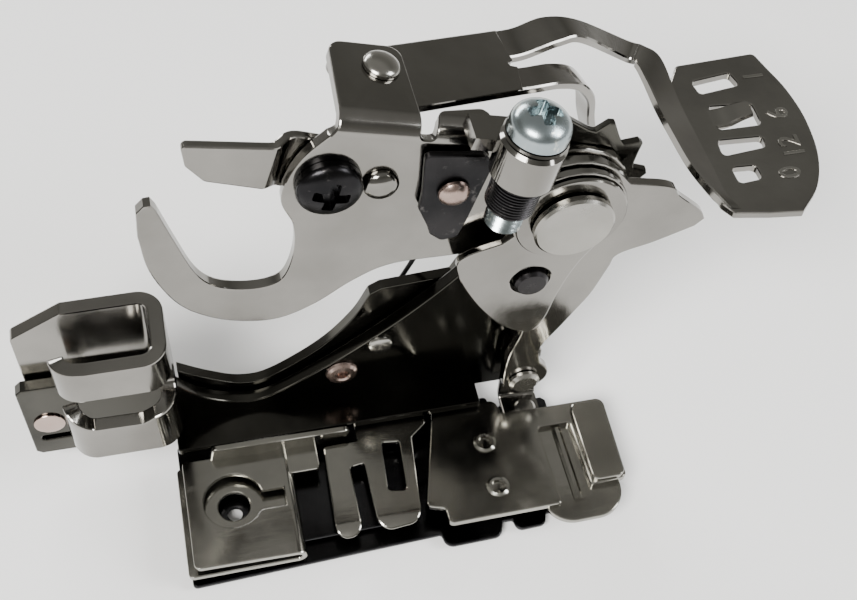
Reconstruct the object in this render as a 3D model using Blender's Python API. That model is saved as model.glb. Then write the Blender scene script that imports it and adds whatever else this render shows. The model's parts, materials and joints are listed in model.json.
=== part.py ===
"""Sewing-machine ruffler attachment for a low-shank presser bar.

Lengths are in millimetres up to add(), which writes metres.  X runs towards the operator,
Y towards the right of the machine, Z up.  The design origin is the needle hole on the underside
of the sole; the whole model is then moved so that the presser-bar seat is the world origin.
"""

import math

import bmesh
import bpy
from mathutils import Matrix, Vector
from mathutils.geometry import delaunay_2d_cdt

MM = 0.001
GAP = 0.2                       # clearance between neighbouring pieces
EDGE = 0.12                     # broken edge of stamped sheet

# ---- driving dimensions -------------------------------------------------------------------
SEAT = Vector((-4.6, 7.5, 18.6))        # presser-bar seat on the clamp's front wall
PIVOT = Vector((28.9, 0.0, 31.2))       # main stud, which runs along Y
LEVER_TILT = 16.0                       # droop of the fork lever towards the operator, degrees
LEVER_YAW = 18.0                        # swing of the number lever at its "0" notch, degrees
STUD_R = 1.8
STUD_HOLE_R = 2.05

# layers along Y, front face and thickness
WASHER_Y = (4.1, 0.4)
ANVIL_Y = (4.65, 0.7)
BELL_Y = (5.5, 0.9)
FORK_Y = (6.55, 1.0)
WHEEL_Y = (7.7, 0.65)
FRAME_Y = (8.55, 1.2)
REAR_Y = (9.95, 1.0)

# clamp
CLAMP_T = 1.3
CLAMP_NEAR_Y = 4.9                      # inner faces of the channel
CLAMP_FAR_Y = 10.0
CLAMP_FRONT_X = -4.6
CLAMP_R = 0.9                           # inner bend radius
CLAMP_TOP_Z = 20.8
SCREW_SLOT_Z = 14.7                     # centre height of the thumb-screw slot
SCREW_SLOT_H = 4.6

# layers of the foot, underside and thickness
SEPARATOR_Z = (0.0, 0.45)
BLADE_Z = (0.75, 0.4)
SOLE_Z = (1.45, 1.65)                   # folded sheet, both layers
GUIDE_Z = (2.45, 0.7)
FINGER_Z = (2.5, 0.6)
DECK_Z = (3.5, 0.8)

WHEEL_R = 7.3
WHEEL_TEETH = 12
SCREW_R = 1.45
SCREW_AXIS = Vector((-7.7, 2.1, 6.75))  # lower end of the screw barrel, in the fork lever
SCREW_LEAN = -5.5                       # lean of the adjusting screw in the fork lever, degrees
LEVER_RIVET = Vector((-15.9, 12.6, 4.9))    # number lever's pivot, in the fork lever
PLATE_Z = 30.0                          # top of the number plate


# ---- materials ----------------------------------------------------------------------------
def material(name, colour, roughness, metallic=1.0):
    """A plain Principled material."""
    made = bpy.data.materials.new(name)
    made.use_nodes = True
    shader = made.node_tree.nodes["Principled BSDF"]
    shader.inputs["Base Color"].default_value = (*colour, 1.0)
    shader.inputs["Roughness"].default_value = roughness
    shader.inputs["Metallic"].default_value = metallic
    return made


# ---- outlines -----------------------------------------------------------------------------
def rounded(corners, steps=5):
    """Closed outline from (x, y) or (x, y, radius) corners, with an arc at each radius."""
    points = []
    count = len(corners)
    for i, corner in enumerate(corners):
        here = Vector(corner[:2])
        radius = corner[2] if len(corner) > 2 else 0.0
        if radius == 0.0:
            points.append(here)
            continue
        back = (Vector(corners[i - 1][:2]) - here).normalized()
        ahead = (Vector(corners[(i + 1) % count][:2]) - here).normalized()
        half = back.angle(ahead) / 2
        centre = here + (back + ahead).normalized() * radius / math.sin(half)
        start = here + back * radius / math.tan(half) - centre
        end = here + ahead * radius / math.tan(half) - centre
        turn = start.angle_signed(end)
        for k in range(steps + 1):
            points.append(centre + Matrix.Rotation(-turn * k / steps, 2) @ start)
    return points


def smooth(knots, steps=4, closed=False):
    """Catmull-Rom curve through a few knots."""
    knots = [Vector(k) for k in knots]
    count = len(knots)
    spans = count if closed else count - 1
    points = []
    for i in range(spans):
        p1 = knots[i]
        p2 = knots[(i + 1) % count]
        p0 = knots[i - 1] if closed or i else p1 * 2 - p2
        p3 = knots[(i + 2) % count] if closed or i + 2 < count else p2 * 2 - p1
        for k in range(steps):
            t = k / steps
            points.append(0.5 * (p1 * 2 + (p2 - p0) * t + (p0 * 2 - p1 * 5 + p2 * 4 - p3) * t * t
                                 + (p1 * 3 - p0 - p2 * 3 + p3) * t ** 3))
    if not closed:
        points.append(knots[-1])
    return points


def circle(x, y, radius, sides=24):
    """Counter-clockwise ring of points."""
    turn = 2 * math.pi / sides
    return [Vector((x + radius * math.cos(turn * k), y + radius * math.sin(turn * k)))
            for k in range(sides)]


def slot(x0, y0, x1, y1, radius=0.4):
    """Rectangle with rounded corners."""
    return rounded([(x0, y0, radius), (x1, y0, radius), (x1, y1, radius), (x0, y1, radius)], 3)


def signed_area(points):
    """Positive when the ring runs counter-clockwise."""
    return sum(a.x * b.y - b.x * a.y for a, b in zip(points, points[1:] + points[:1])) / 2


def inset(points, distance):
    """Moves each point to the left of the ring's direction of travel."""
    moved = []
    count = len(points)
    for i, here in enumerate(points):
        before = (here - points[i - 1]).normalized()
        after = (points[(i + 1) % count] - here).normalized()
        left = Vector((-before.y - after.y, before.x + after.x))
        left.normalize()
        cosine = max(0.35, left.dot(Vector((-before.y, before.x))))
        moved.append(here + left * distance / cosine)
    return moved


# ---- solids -------------------------------------------------------------------------------
def fill(bm, rings):
    """Triangulates the flat area between an outer ring of vertices and its holes."""
    verts = [vert for ring in rings for vert in ring]
    edges = []
    start = 0
    for ring in rings:
        count = len(ring)
        edges += [(start + i, start + (i + 1) % count) for i in range(count)]
        start += count
    spots = [Vector(vert.co[:2]) for vert in verts]
    triangles, origins = delaunay_2d_cdt(spots, edges, [], 0, 1e-9)[2:4]
    for triangle in triangles:
        corners = [verts[origins[i][0]] for i in triangle]
        middle = sum((Vector(c.co[:2]) for c in corners), Vector((0, 0))) / 3
        crossings = 0
        for i, j in edges:
            p, q = spots[i], spots[j]
            if (p.y > middle.y) != (q.y > middle.y):
                crossings += middle.x < p.x + (q.x - p.x) * (middle.y - p.y) / (q.y - p.y)
        if crossings % 2:
            bm.faces.new(corners)


def sheet(outline, thickness, holes=(), edge=EDGE):
    """Flat sheet from w = 0 to w = thickness with broken edges, as a bmesh in (u, v, w)."""
    bm = bmesh.new()
    rings = [list(outline)] if signed_area(list(outline)) > 0 else [list(outline)[::-1]]
    for hole in holes:
        hole = list(hole)
        rings.append(hole if signed_area(hole) < 0 else hole[::-1])
    caps = ([], [])
    for ring in rings:
        small = inset(ring, edge)
        layers = ((small, 0.0), (ring, edge), (ring, thickness - edge), (small, thickness))
        rows = [[bm.verts.new((p.x, p.y, w)) for p in points] for points, w in layers]
        count = len(ring)
        for low, high in zip(rows, rows[1:]):
            for i in range(count):
                j = (i + 1) % count
                bm.faces.new((low[i], low[j], high[j], high[i]))
        for cap, row in zip(caps, (rows[0], rows[-1])):
            cap.append(row)
    for cap in caps:
        fill(bm, cap)
    bmesh.ops.recalc_face_normals(bm, faces=bm.faces)
    return bm


def bend(bm, path, start=(0.0, 0.0), heading=0.0, step=15.0):
    """Bends a flat sheet along u.  path holds lengths, and (radius, degrees) for each bend.

    The w = 0 face follows the path; w grows to the left of it.  Result is in (a, v, b)."""
    legs = []
    stations = []
    at = Vector(start)
    angle = math.radians(heading)
    u = 0.0
    for leg in path:
        if isinstance(leg, tuple):
            radius, degrees = leg
            turn = math.radians(degrees)
            length = radius * abs(turn)
            pieces = max(2, round(abs(degrees) / step))
            side = math.copysign(1.0, turn)
            centre = at + Vector((-math.sin(angle), math.cos(angle))) * radius * side
            legs.append((u, length, at.copy(), angle, centre, radius, side))
            stations += [u + length * k / pieces for k in range(pieces + 1)]
            angle += turn
            at = centre + Vector((math.sin(angle), -math.cos(angle))) * radius * side
        else:
            length = leg
            legs.append((u, length, at.copy(), angle, None, 0.0, 0.0))
            at = at + Vector((math.cos(angle), math.sin(angle))) * length
        u += length
    for station in stations:
        geometry = bm.verts[:] + bm.edges[:] + bm.faces[:]
        bmesh.ops.bisect_plane(bm, geom=geometry, dist=1e-3,
                               plane_co=(station, 0, 0), plane_no=(1, 0, 0))
    bmesh.ops.triangulate(bm, faces=[face for face in bm.faces if len(face.verts) > 4])
    for vert in bm.verts:
        along, across, w = vert.co
        leg = legs[0]
        for candidate in legs:
            if along >= candidate[0] - 1e-6:
                leg = candidate
        begin, length, origin, angle, centre, radius, side = leg
        if centre is None:
            direction = Vector((math.cos(angle), math.sin(angle)))
            normal = Vector((-direction.y, direction.x))
            spot = origin + direction * (along - begin) + normal * w
        else:
            angle += side * (along - begin) / radius
            spot = centre + Vector((math.sin(angle), -math.cos(angle))) * side * (radius - side * w)
        vert.co = (spot.x, across, spot.y)
    return bm


def turned(profile, sides=28):
    """Solid of revolution about Z; profile runs from the axis to the axis as (r, z)."""
    bm = bmesh.new()
    rings = []
    for r, z in profile:
        if r < 1e-6:
            rings.append([bm.verts.new((0, 0, z))])
        else:
            rings.append([bm.verts.new((p.x, p.y, z)) for p in circle(0, 0, r, sides)])
    for low, high in zip(rings, rings[1:]):
        for i in range(sides):
            j = (i + 1) % sides
            corners = [low[i % len(low)], low[j % len(low)], high[j % len(high)], high[i % len(high)]]
            unique = list(dict.fromkeys(corners))
            bm.faces.new(unique)
    bmesh.ops.recalc_face_normals(bm, faces=bm.faces)
    return bm


def tube(profile, sides=32):
    """Closed ring of revolution about Z; profile is a closed loop of (r, z)."""
    bm = bmesh.new()
    rings = [[bm.verts.new((p.x, p.y, z)) for p in circle(0, 0, r, sides)] for r, z in profile]
    for low, high in zip(rings, rings[1:] + rings[:1]):
        for i in range(sides):
            j = (i + 1) % sides
            bm.faces.new((low[i], low[j], high[j], high[i]))
    bmesh.ops.recalc_face_normals(bm, faces=bm.faces)
    return bm


def rivet(head_r, head_h, shank_r, length, tail_r, tail_h, dome=0.6):
    """Rivet along Z: its head ends at +head_h over z = 0, its tail lies below -length."""
    steps = 4
    top = [(head_r * math.cos(a), head_h * ((1 - dome) + dome * math.sin(a)))
           for a in (math.pi / 2 * k / steps for k in range(steps + 1))]
    tail = [(0, -length - tail_h), (tail_r * 0.8, -length - tail_h), (tail_r, -length - tail_h * 0.6),
            (tail_r, -length), (shank_r, -length)]
    return turned(tail + [(shank_r, 0), (head_r, 0)] + top[:-1] + [(0, head_h)], 20)


def tubular(head_r, head_h, shank_r, length, tail_r, tail_h, bore):
    """Rivet with a dimple of radius bore in its head."""
    return turned([(0, -length - tail_h), (tail_r * 0.8, -length - tail_h),
                   (tail_r, -length - tail_h * 0.6), (tail_r, -length), (shank_r, -length),
                   (shank_r, 0), (head_r, 0), (head_r * 0.96, head_h * 0.45), (head_r * 0.8, head_h * 0.85),
                   (bore + 0.22, head_h), (bore, head_h * 0.8), (bore * 0.85, -0.15), (0, -0.25)], 24)


def phillips(head_r, head_h, shank_r, length, tip=0.3, cross=0.0):
    """Pan-head screw along Z with its seat at z = 0 and a cross recess."""
    steps = 6
    top = [(head_r * (1 - 0.35 * t * t) * math.sqrt(max(0.0, 1 - t ** 4)), head_h * (0.25 + 0.75 * t))
           for t in (k / steps for k in range(steps))]
    bm = turned([(0, -length), (shank_r - tip, -length), (shank_r, -length + tip), (shank_r, 0),
                 (head_r, 0)] + top + [(0, head_h)], 28)
    if cross:
        cutter = bmesh.new()
        for turn in (0.0, 90.0):
            half = cross / 2
            matrix = Matrix.Rotation(math.radians(turn), 4, "Z")
            arm = sheet(slot(-head_r * 0.55, -half, head_r * 0.55, half, half * 0.4), head_h, edge=0.02)
            arm.transform(matrix @ Matrix.Translation((0, 0, head_h * 0.45)))
            spare = bpy.data.meshes.new("arm")
            arm.to_mesh(spare)
            arm.free()
            cutter.from_mesh(spare)
            bpy.data.meshes.remove(spare)
        bm = boolean(bm, cutter, "DIFFERENCE", own=True)
    return bm


def boolean(bm, other, operation, own=False):
    """Exact Boolean of two bmeshes, returned as a new bmesh."""
    objects = []
    for mesh_data in (bm, other):
        mesh = bpy.data.meshes.new("operand")
        mesh_data.to_mesh(mesh)
        mesh_data.free()
        made = bpy.data.objects.new("operand", mesh)
        bpy.context.collection.objects.link(made)
        objects.append(made)
    modifier = objects[0].modifiers.new("cut", "BOOLEAN")
    modifier.operation = operation
    modifier.solver = "EXACT"
    modifier.use_self = own
    modifier.object = objects[1]
    bpy.context.view_layer.update()
    result = bmesh.new()
    result.from_mesh(objects[0].evaluated_get(bpy.context.evaluated_depsgraph_get()).to_mesh())
    for made in objects:
        bpy.data.objects.remove(made, do_unlink=True)
    bmesh.ops.remove_doubles(result, verts=result.verts, dist=1e-5)
    bmesh.ops.dissolve_degenerate(result, edges=result.edges, dist=1e-5)
    return result


def box(low, high):
    """Axis-aligned box as a bmesh."""
    low, high = Vector(low), Vector(high)
    bm = bmesh.new()
    bmesh.ops.create_cube(bm, size=1.0)
    bm.transform(Matrix.Translation((low + high) / 2) @ Matrix.Diagonal((*(high - low), 1.0)))
    return bm


def merge(*parts):
    """Union of several overlapping bmeshes."""
    whole = parts[0]
    for part in parts[1:]:
        whole = boolean(whole, part, "UNION")
    return whole


# Axis changes: a sheet's (u, v, w) into the model's directions.
UPRIGHT = Matrix(((1, 0, 0, 0), (0, 0, 1, 0), (0, 1, 0, 0), (0, 0, 0, 1)))     # (u, w, v)
ALONG_Y = Matrix(((1, 0, 0, 0), (0, 0, -1, 0), (0, 1, 0, 0), (0, 0, 0, 1)))    # Z axis to -Y


def upright(outline, layer, holes=()):
    """Sheet standing in the XZ plane, from a (front face, thickness) layer."""
    bm = sheet(outline, layer[1], holes)
    bm.transform(Matrix.Translation((0, layer[0], 0)) @ UPRIGHT)
    return bm


def flat(outline, layer, holes=()):
    """Sheet lying in the XY plane, from an (underside, thickness) layer."""
    bm = sheet(outline, layer[1], holes)
    bm.transform(Matrix.Translation((0, 0, layer[0])))
    return bm


def facing(bm, x, y, z):
    """Stands a part made along Z with its head towards -Y."""
    bm.transform(Matrix.Translation((x, y, z)) @ ALONG_Y)
    return bm


# ---- scene --------------------------------------------------------------------------------
def axis_empty(name, parent, location, rotation=(0.0, 0.0, 0.0)):
    """Empty on a joint's axis; location in millimetres under its parent."""
    made = bpy.data.objects.new(name, None)
    made.location = Vector(location) * MM
    made.rotation_euler = [math.radians(a) for a in rotation]
    made.parent = parent
    bpy.context.collection.objects.link(made)
    return made


def add(name, bm, surface, parent, shift=(0.0, 0.0, 0.0)):
    """Turns a bmesh in its parent's millimetres into a named, smooth-shaded object."""
    bmesh.ops.recalc_face_normals(bm, faces=bm.faces)
    if bm.calc_volume(signed=True) < 0:
        bmesh.ops.reverse_faces(bm, faces=bm.faces)
    bm.transform(Matrix.Scale(MM, 4) @ Matrix.Translation(-Vector(shift)))
    mesh = bpy.data.meshes.new(name)
    bm.to_mesh(mesh)
    bm.free()
    mesh.materials.append(surface)
    mesh.shade_smooth()
    mesh.set_sharp_from_angle(angle=math.radians(28))
    made = bpy.data.objects.new(name, mesh)
    made.parent = parent
    bpy.context.collection.objects.link(made)
    return made


# ---- frame --------------------------------------------------------------------------------
def shank_clamp(chrome, root):
    """Bent channel that hooks round the presser bar; its near wall has the thumb-screw slot."""
    left, end = -16.1, -10.6
    far = CLAMP_FRONT_X - CLAMP_R - left
    front = CLAMP_FAR_Y - CLAMP_NEAR_Y - 2 * CLAMP_R
    near = CLAMP_FRONT_X - CLAMP_R - end
    quarter = CLAMP_R * math.pi / 2
    path = [far, (CLAMP_R, -90), front, (CLAMP_R, -90), near, (CLAMP_R, -80), 0.5]
    total = far + quarter + front + quarter + near + CLAMP_R * math.radians(80) + 0.5
    relief = far + quarter + CLAMP_FAR_Y - CLAMP_R - FRAME_Y[0] + GAP + 0.2
    slot_end = far + quarter + front - 0.5
    belly = slot_end + quarter + 2.6
    foot, low = 2.4, 8.0
    floor = SCREW_SLOT_Z - SCREW_SLOT_H / 2
    roof = SCREW_SLOT_Z + SCREW_SLOT_H / 2
    outline = rounded([(0, foot, 0.5), (far - 0.2, foot, 0.5), (far - 0.2, 12.9), (relief, 12.9, 0.4),
                       (relief, low, 0.6), (total, low, 1.6), (total, floor + 2.4, 0.5),
                       (belly + 2.9, floor + 0.1, 0.8), (belly - 1.2, floor, 1.2),
                       (slot_end, floor + 1.9, 0.6), (slot_end, roof, 0.6), (total, roof, 0.5),
                       (total, CLAMP_TOP_Z + 0.5, 1.0), (total - 2.4, CLAMP_TOP_Z, 1.0),
                       (4.5, CLAMP_TOP_Z, 0.5), (0, 18.2, 0.6)])
    holes = [circle(-14.9 - left, 7.2, 0.88, 16)]
    bm = bend(sheet(outline, CLAMP_T, holes), path, start=(left, CLAMP_FAR_Y), step=18)
    bm.transform(UPRIGHT)
    return add("shank_clamp", bm, chrome, root)


def frame_plate(chrome, root):
    """Side plate with the deck folded forward at its foot, and the boss round the main stud."""
    foot = 2.2
    px, pz = PIVOT.x, PIVOT.z
    boss = 3.4
    arc = [(px + boss * math.cos(a), pz + boss * math.sin(a))
           for a in (math.radians(d) for d in range(-30, 181, 15))]
    top = smooth([(-4.9, 12.4), (-3.4, 9.8), (-1.2, 7.3), (1.6, 5.8), (4.7, 5.9), (10.4, 9.6),
                  (16.7, 14.9), (21.8, 20.3), (24.4, 24.5)], 4)
    outline = [(-16.9, foot + 0.5), (-16.4, foot), (28.9, foot), (30.0, 9.0), (32.0, 18.0)]
    outline += arc + [tuple(p) for p in top[::-1]] + [(-16.4, 12.6), (-16.9, 12.1)]
    holes = [circle(px, pz, STUD_HOLE_R), circle(-14.9, 7.2, 0.95, 16), circle(11.4, 8.1, 0.95, 16),
             circle(14.9, 11.7, 0.8, 16), circle(26.4, 23.4, 0.95, 16), slot(-16.0, 4.3, -12.9, 5.1, 0.38)]
    side = upright([Vector(p) for p in outline], FRAME_Y, holes)
    deck = flat(slot(-4.2, 5.2, 24.0, FRAME_Y[0] + 0.6, 0.3), DECK_Z)
    return add("frame_plate", merge(side, deck), chrome, root)


def rear_plate(chrome, root):
    """Second side plate, which doubles the frame behind the mechanism."""
    px, pz = PIVOT.x, PIVOT.z
    boss = 3.4
    arc = [(px + boss * math.cos(a), pz + boss * math.sin(a))
           for a in (math.radians(d) for d in range(-30, 181, 15))]
    top = smooth([(-3.2, 10.2), (-0.6, 8.2), (2.2, 6.7), (5.0, 7.0), (9.6, 10.3), (12.6, 14.0),
                  (14.2, 17.4)], 4)
    outline = [(-3.2, 3.0), (28.4, 3.0), (30.4, 10.0), (32.2, 19.0)] + arc
    outline += [(24.6, 25.4), (21.4, 18.4), (15.2, 18.0)] + [tuple(p) for p in top[::-1]]
    holes = [circle(px, pz, STUD_HOLE_R), circle(11.4, 8.1, 0.95, 16), circle(14.9, 11.7, 0.8, 16)]
    return add("rear_plate", upright([Vector(p) for p in outline], REAR_Y, holes), chrome, root)


def frame_rivets(copper, steel, root):
    """Rivets that join the clamp and the two side plates."""
    depth = REAR_Y[0] + REAR_Y[1] - FRAME_Y[0] + GAP
    lower = tubular(1.5, 0.5, 0.75, depth, 1.3, 0.4, 0.55)
    add("frame_rivet_front", facing(lower, 11.4, FRAME_Y[0] - 0.05, 8.1), copper, root)
    upper = rivet(1.1, 0.45, 0.6, depth, 1.0, 0.4)
    add("frame_rivet_rear", facing(upper, 14.9, FRAME_Y[0] - 0.05, 11.7), steel, root)
    depth = CLAMP_FAR_Y + CLAMP_T - FRAME_Y[0] + GAP
    clamp = rivet(1.35, 0.3, 0.75, depth, 1.3, 0.4)
    add("clamp_rivet", facing(clamp, -14.9, FRAME_Y[0] - 0.05, 7.2), copper, root)


def main_stud(steel, chrome, root):
    """Flat-headed stud that every lever turns on, and the washer under its head."""
    profile = [(0, -13.1), (2.2, -13.1), (2.6, -12.8), (2.6, -12.4), (STUD_R, -12.4),
               (STUD_R, -3.9), (3.1, -3.9), (3.25, -3.75), (3.25, -3.3), (3.05, -3.1),
               (2.75, -3.1), (2.4, -3.22), (0, -3.3)]
    add("main_stud", facing(turned(profile, 36), PIVOT.x, 0, PIVOT.z), steel, root)
    ring = tube([(STUD_HOLE_R, 0), (4.3, 0), (4.5, 0.12), (4.5, WASHER_Y[1] - 0.1), (4.4, WASHER_Y[1]),
                 (STUD_HOLE_R, WASHER_Y[1])], 36)
    add("stud_washer", facing(ring, PIVOT.x, WASHER_Y[0] + WASHER_Y[1], PIVOT.z), chrome, root)


def return_spring(steel, root):
    """Torsion spring coiled on the stud behind the rear plate, with one leg down the plate."""
    radius, wire, turns, steps = 2.35, 0.22, 1.75, 20
    knots = []
    for k in range(int(turns * steps) + 1):
        a = math.radians(-110) + 2 * math.pi * k / steps
        y = 11.35 + 0.72 * k / (turns * steps)
        knots.append(Vector((PIVOT.x + radius * math.cos(a), y, PIVOT.z + radius * math.sin(a))))
    last, before = knots[-1], knots[-2]
    run = (last - before).normalized()
    knots += [last + run * 3.0, Vector((19.5, 11.9, 21.5)), Vector((17.0, 11.7, 16.0))]
    add("return_spring", wire_solid(knots, wire, 8), steel, root)


def wire_solid(knots, radius, sides=8):
    """Round wire along a line of points, with flat ends."""
    bm = bmesh.new()
    rows = []
    side = Vector((0, 1, 0))
    for i, here in enumerate(knots):
        ahead = knots[min(i + 1, len(knots) - 1)] - knots[max(i - 1, 0)]
        ahead.normalize()
        side = (side - ahead * side.dot(ahead)).normalized()
        other = ahead.cross(side)
        rows.append([bm.verts.new(here + (side * math.cos(a) + other * math.sin(a)) * radius)
                     for a in (2 * math.pi * k / sides for k in range(sides))])
    for low, high in zip(rows, rows[1:]):
        for i in range(sides):
            j = (i + 1) % sides
            bm.faces.new((low[i], low[j], high[j], high[i]))
    bm.faces.new(rows[0])
    bm.faces.new(rows[-1])
    bmesh.ops.recalc_face_normals(bm, faces=bm.faces)
    return bm


# ---- foot ---------------------------------------------------------------------------------
def presser_sole(chrome, root):
    """Sole folded back over itself, with the needle hole, its thread slot and a rear flange."""
    width, radius, layer = 9.6, 0.825, 0.5
    arc = radius * math.pi
    end = width + arc + width
    lower = circle(4.7, 0, 1.4, 24)
    ring, near, far, mouth = 2.65, -1.3, 0.5, 4.6
    first, last = (math.degrees(math.asin(y / ring)) for y in (far, near))
    upper = [(ring * math.cos(a), ring * math.sin(a)) for a in
             (math.radians(first + (360 + last - first) * k / 24) for k in range(25))]
    upper = [Vector((end - 4.7 - x, y)) for x, y in upper + [(mouth, near), (mouth, far)]]
    outline = rounded([(0, -6.3, 0.5), (end - 0.6, -6.1, 0.6), (end - 0.6, 4.7, 0.4), (0, 4.7, 0.4)])
    bm = bend(sheet(outline, layer, [lower, upper]),
              [width, (radius, 180), width], start=(-4.7, SOLE_Z[0]), step=20)
    flange = sheet(rounded([(-1.6, 2.7), (10.8, 2.7, 0.3), (11.6, 4.6, 0.5), (-1.2, 4.8, 0.5)]), 0.6)
    flange.transform(Matrix.Translation((0, 4.35, 0)) @ UPRIGHT)
    tab = flat(rounded([(5.2, 1.8, 0.2), (8.2, 1.8, 0.4), (8.2, 4.7), (5.2, 4.7)]), (2.6, 0.5))
    return add("presser_sole", merge(bm, flange, tab), chrome, root)


def separator_blade(blued, root):
    """Thin plate under the foot that keeps the two cloths apart."""
    outline = rounded([(-4.5, -6.5, 0.4), (18.0, -5.6, 0.2), (18.3, -6.9, 0.9), (23.4, -6.8, 0.9),
                       (23.9, -5.4, 0.2), (24.8, -5.4, 0.2), (25.0, -6.5, 0.7), (27.7, -6.4, 0.7),
                       (28.0, -5.3, 0.3), (34.6, -5.0, 0.9), (34.6, 4.6, 0.9), (26.0, 4.6, 0.3),
                       (25.5, 8.0, 0.4), (-4.5, 8.0, 0.4)], 3)
    holes = [circle(0, 0, 0.65, 20)]
    return add("separator_blade", flat(outline, SEPARATOR_Z, holes), blued, root)


def guide_fingers(chrome, root):
    """Folded guide between sole and guide plate: two tongues hanging from a rear band."""
    outline = rounded([(12.0, 7.2, 0.4), (12.0, 4.0, 0.2), (8.8, 3.9, 0.3), (8.5, -5.3, 1.05),
                       (10.9, -5.1, 1.05), (10.9, 1.4, 0.4), (12.2, 1.6, 0.3), (12.3, -5.2, 1.3),
                       (16.3, -4.9, 1.3), (17.1, 3.4, 0.3),
                       (18.6, 4.6, 0.3), (19.0, 7.2, 0.5), (18.0, 7.6, 0.4), (17.6, 7.2, 0.3)], 4)
    window = rounded([(14.2, 3.4, 0.3), (13.9, -1.6, 0.4), (15.5, -1.9, 0.4), (15.8, 3.2, 0.3)], 4)
    return add("guide_fingers", flat(outline, FINGER_Z, [window]), chrome, root)


def guide_plate(chrome, root):
    """Guide at the operator's end of the foot: upper sheet, raised band, rounded nose and rib."""
    outline = rounded([(19.5, 5.9, 0.6), (16.9, -3.9, 0.5), (18.5, -4.4, 0.4), (18.6, -6.0, 0.5),
                       (29.1, -5.9, 0.4), (28.9, 2.2, 0.3), (32.0, 2.2, 0.3), (32.2, -4.6, 0.3),
                       (35.7, -4.4, 0.6), (35.9, 4.3, 0.8), (26.0, 4.3, 0.5), (25.6, 5.9, 0.8)], 4)
    holes = [circle(23.6, 1.5, 0.8, 16), circle(23.7, -3.2, 0.8, 16)]
    bm = flat(outline, GUIDE_Z, holes)
    band = flat(slot(32.4, -4.4, 35.5, 3.9, 0.7), (GUIDE_Z[0] + 0.3, 0.9))
    nose = flat(rounded([(27.4, 3.0, 0.3), (27.6, -7.6, 2.6), (35.0, -7.5, 2.8), (35.2, 3.0, 0.3)], 6),
                (GUIDE_Z[0] - 0.5, 0.6))
    rib = wire_solid([Vector((30.7, 2.0, GUIDE_Z[0])), Vector((30.8, -5.6, GUIDE_Z[0]))], 0.5, 10)
    add("guide_plate", merge(bm, band, nose, rib), chrome, root)
    for name, x, y in (("guide_rivet_front", 23.7, -3.2), ("guide_rivet_rear", 23.6, 1.5)):
        pin = tubular(1.1, 0.22, 0.65, GUIDE_Z[1] + 0.15, 0.95, 0.25, 0.6)
        pin.transform(Matrix.Translation((x, y, GUIDE_Z[0] + GUIDE_Z[1] + 0.05)))
        add(name, pin, chrome, root)


# ---- fork lever ---------------------------------------------------------------------------
def fork_plate(chrome, lever):
    """Lever with the hook for the needle clamp; its rear flange carries the number lever."""
    base = 20.0
    hook = smooth([(-20.0, 5.4), (-22.0, 1.8), (-22.4, -2.2), (-20.8, -5.0), (-20.0, -8.0),
                   (-20.0, -11.0), (-20.9, -12.3), (-23.0, -12.9), (-25.3, -12.6), (-27.1, -11.1),
                   (-29.2, -7.7), (-31.2, -4.2)], 3)
    tip = [Vector(p) for p in ((-31.7, -3.6), (-32.2, -3.8), (-32.6, -4.6))]
    outer = smooth([(-32.1, -7.2), (-30.6, -11.2), (-28.0, -14.8), (-25.3, -16.5), (-22.2, -17.1),
                    (-19.2, -16.6), (-16.6, -14.5), (-14.1, -11.2), (-11.6, -9.1), (-7.2, -7.8),
                    (-2.5, -6.6)], 3)
    boss = [Vector((5.3 * math.cos(a), 5.3 * math.sin(a)))
            for a in (math.radians(d) for d in range(-90, 136, 15))]
    top = rounded([(-3.7, 3.7), (-8.0, 4.6, 0.8), (-8.1, 8.2, 0.8), (-12.3, 7.4, 0.8), (-12.6, 4.9, 0.5),
                   (-13.7, 4.9, 0.4), (-13.9, 14.0, 1.2), (-19.6, 14.0, 1.2), (-20.0, 5.4)], 4)[1:-1]
    outline = hook + tip + outer + boss + top
    swapped = [Vector((p.y + base, p.x)) for p in outline]
    holes = [[Vector((q.y + base, q.x)) for q in ring]
             for ring in (circle(0, 0, STUD_HOLE_R, 32), circle(-19.3, -0.2, 1.3, 20),
                          circle(-15.4, 0.3, 0.95, 16), circle(-9.9, 0.8, 0.85, 16),
                          circle(-15.9, 11.47, 1.0, 20))]
    bm = bend(sheet(swapped, FORK_Y[1], holes), [24.45, (1.7, 90), 7.1], step=15)
    bm.transform(Matrix(((0, 1, 0, 0), (0, 0, 1, FORK_Y[0]), (1, 0, 0, -base), (0, 0, 0, 1))))
    return add("fork_plate", bm, chrome, lever)


def upper_prong(chrome, blued, lever):
    """Upper half of the fork, joggled behind the lever plate, with its screw and rivet."""
    outline = rounded([(-30.7, 2.6, 0.4), (-30.0, 0.6, 0.3), (-28.4, -0.8, 0.8), (-23.6, -1.3, 0.8),
                       (-21.0, -2.6, 1.2), (-13.9, -1.6, 1.2), (-14.0, 2.4, 1.0), (-22.2, 3.3, 2.0),
                       (-24.5, 3.0, 2.0)], 4)
    holes = [circle(-19.3, -0.2, 1.3, 20), circle(-15.4, 0.3, 0.95, 16)]
    moved = [[Vector((p.x + 31 + (0.4 if p.x > -22.5 else 0.0), p.y)) for p in ring]
             for ring in [outline] + holes]
    angle, radius = 46.0, 0.9
    bm = bend(sheet(moved[0], 0.7, moved[1:]), [6.8, (radius, angle), 0.8, (radius, -angle), 14.0],
              start=(-31, FORK_Y[0]), step=15)
    bm.transform(UPRIGHT)
    add("upper_prong", bm, chrome, lever)
    screw = phillips(2.55, 1.5, 1.1, 2.5, cross=0.9)
    add("prong_screw", facing(screw, -19.3, FORK_Y[0] - 0.05, -0.2), blued, lever)
    pin = rivet(1.4, 0.9, 0.75, 2.0, 1.25, 0.4, dome=0.85)
    add("prong_rivet", facing(pin, -15.4, FORK_Y[0] - 0.05, 0.3), chrome, lever)


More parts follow.
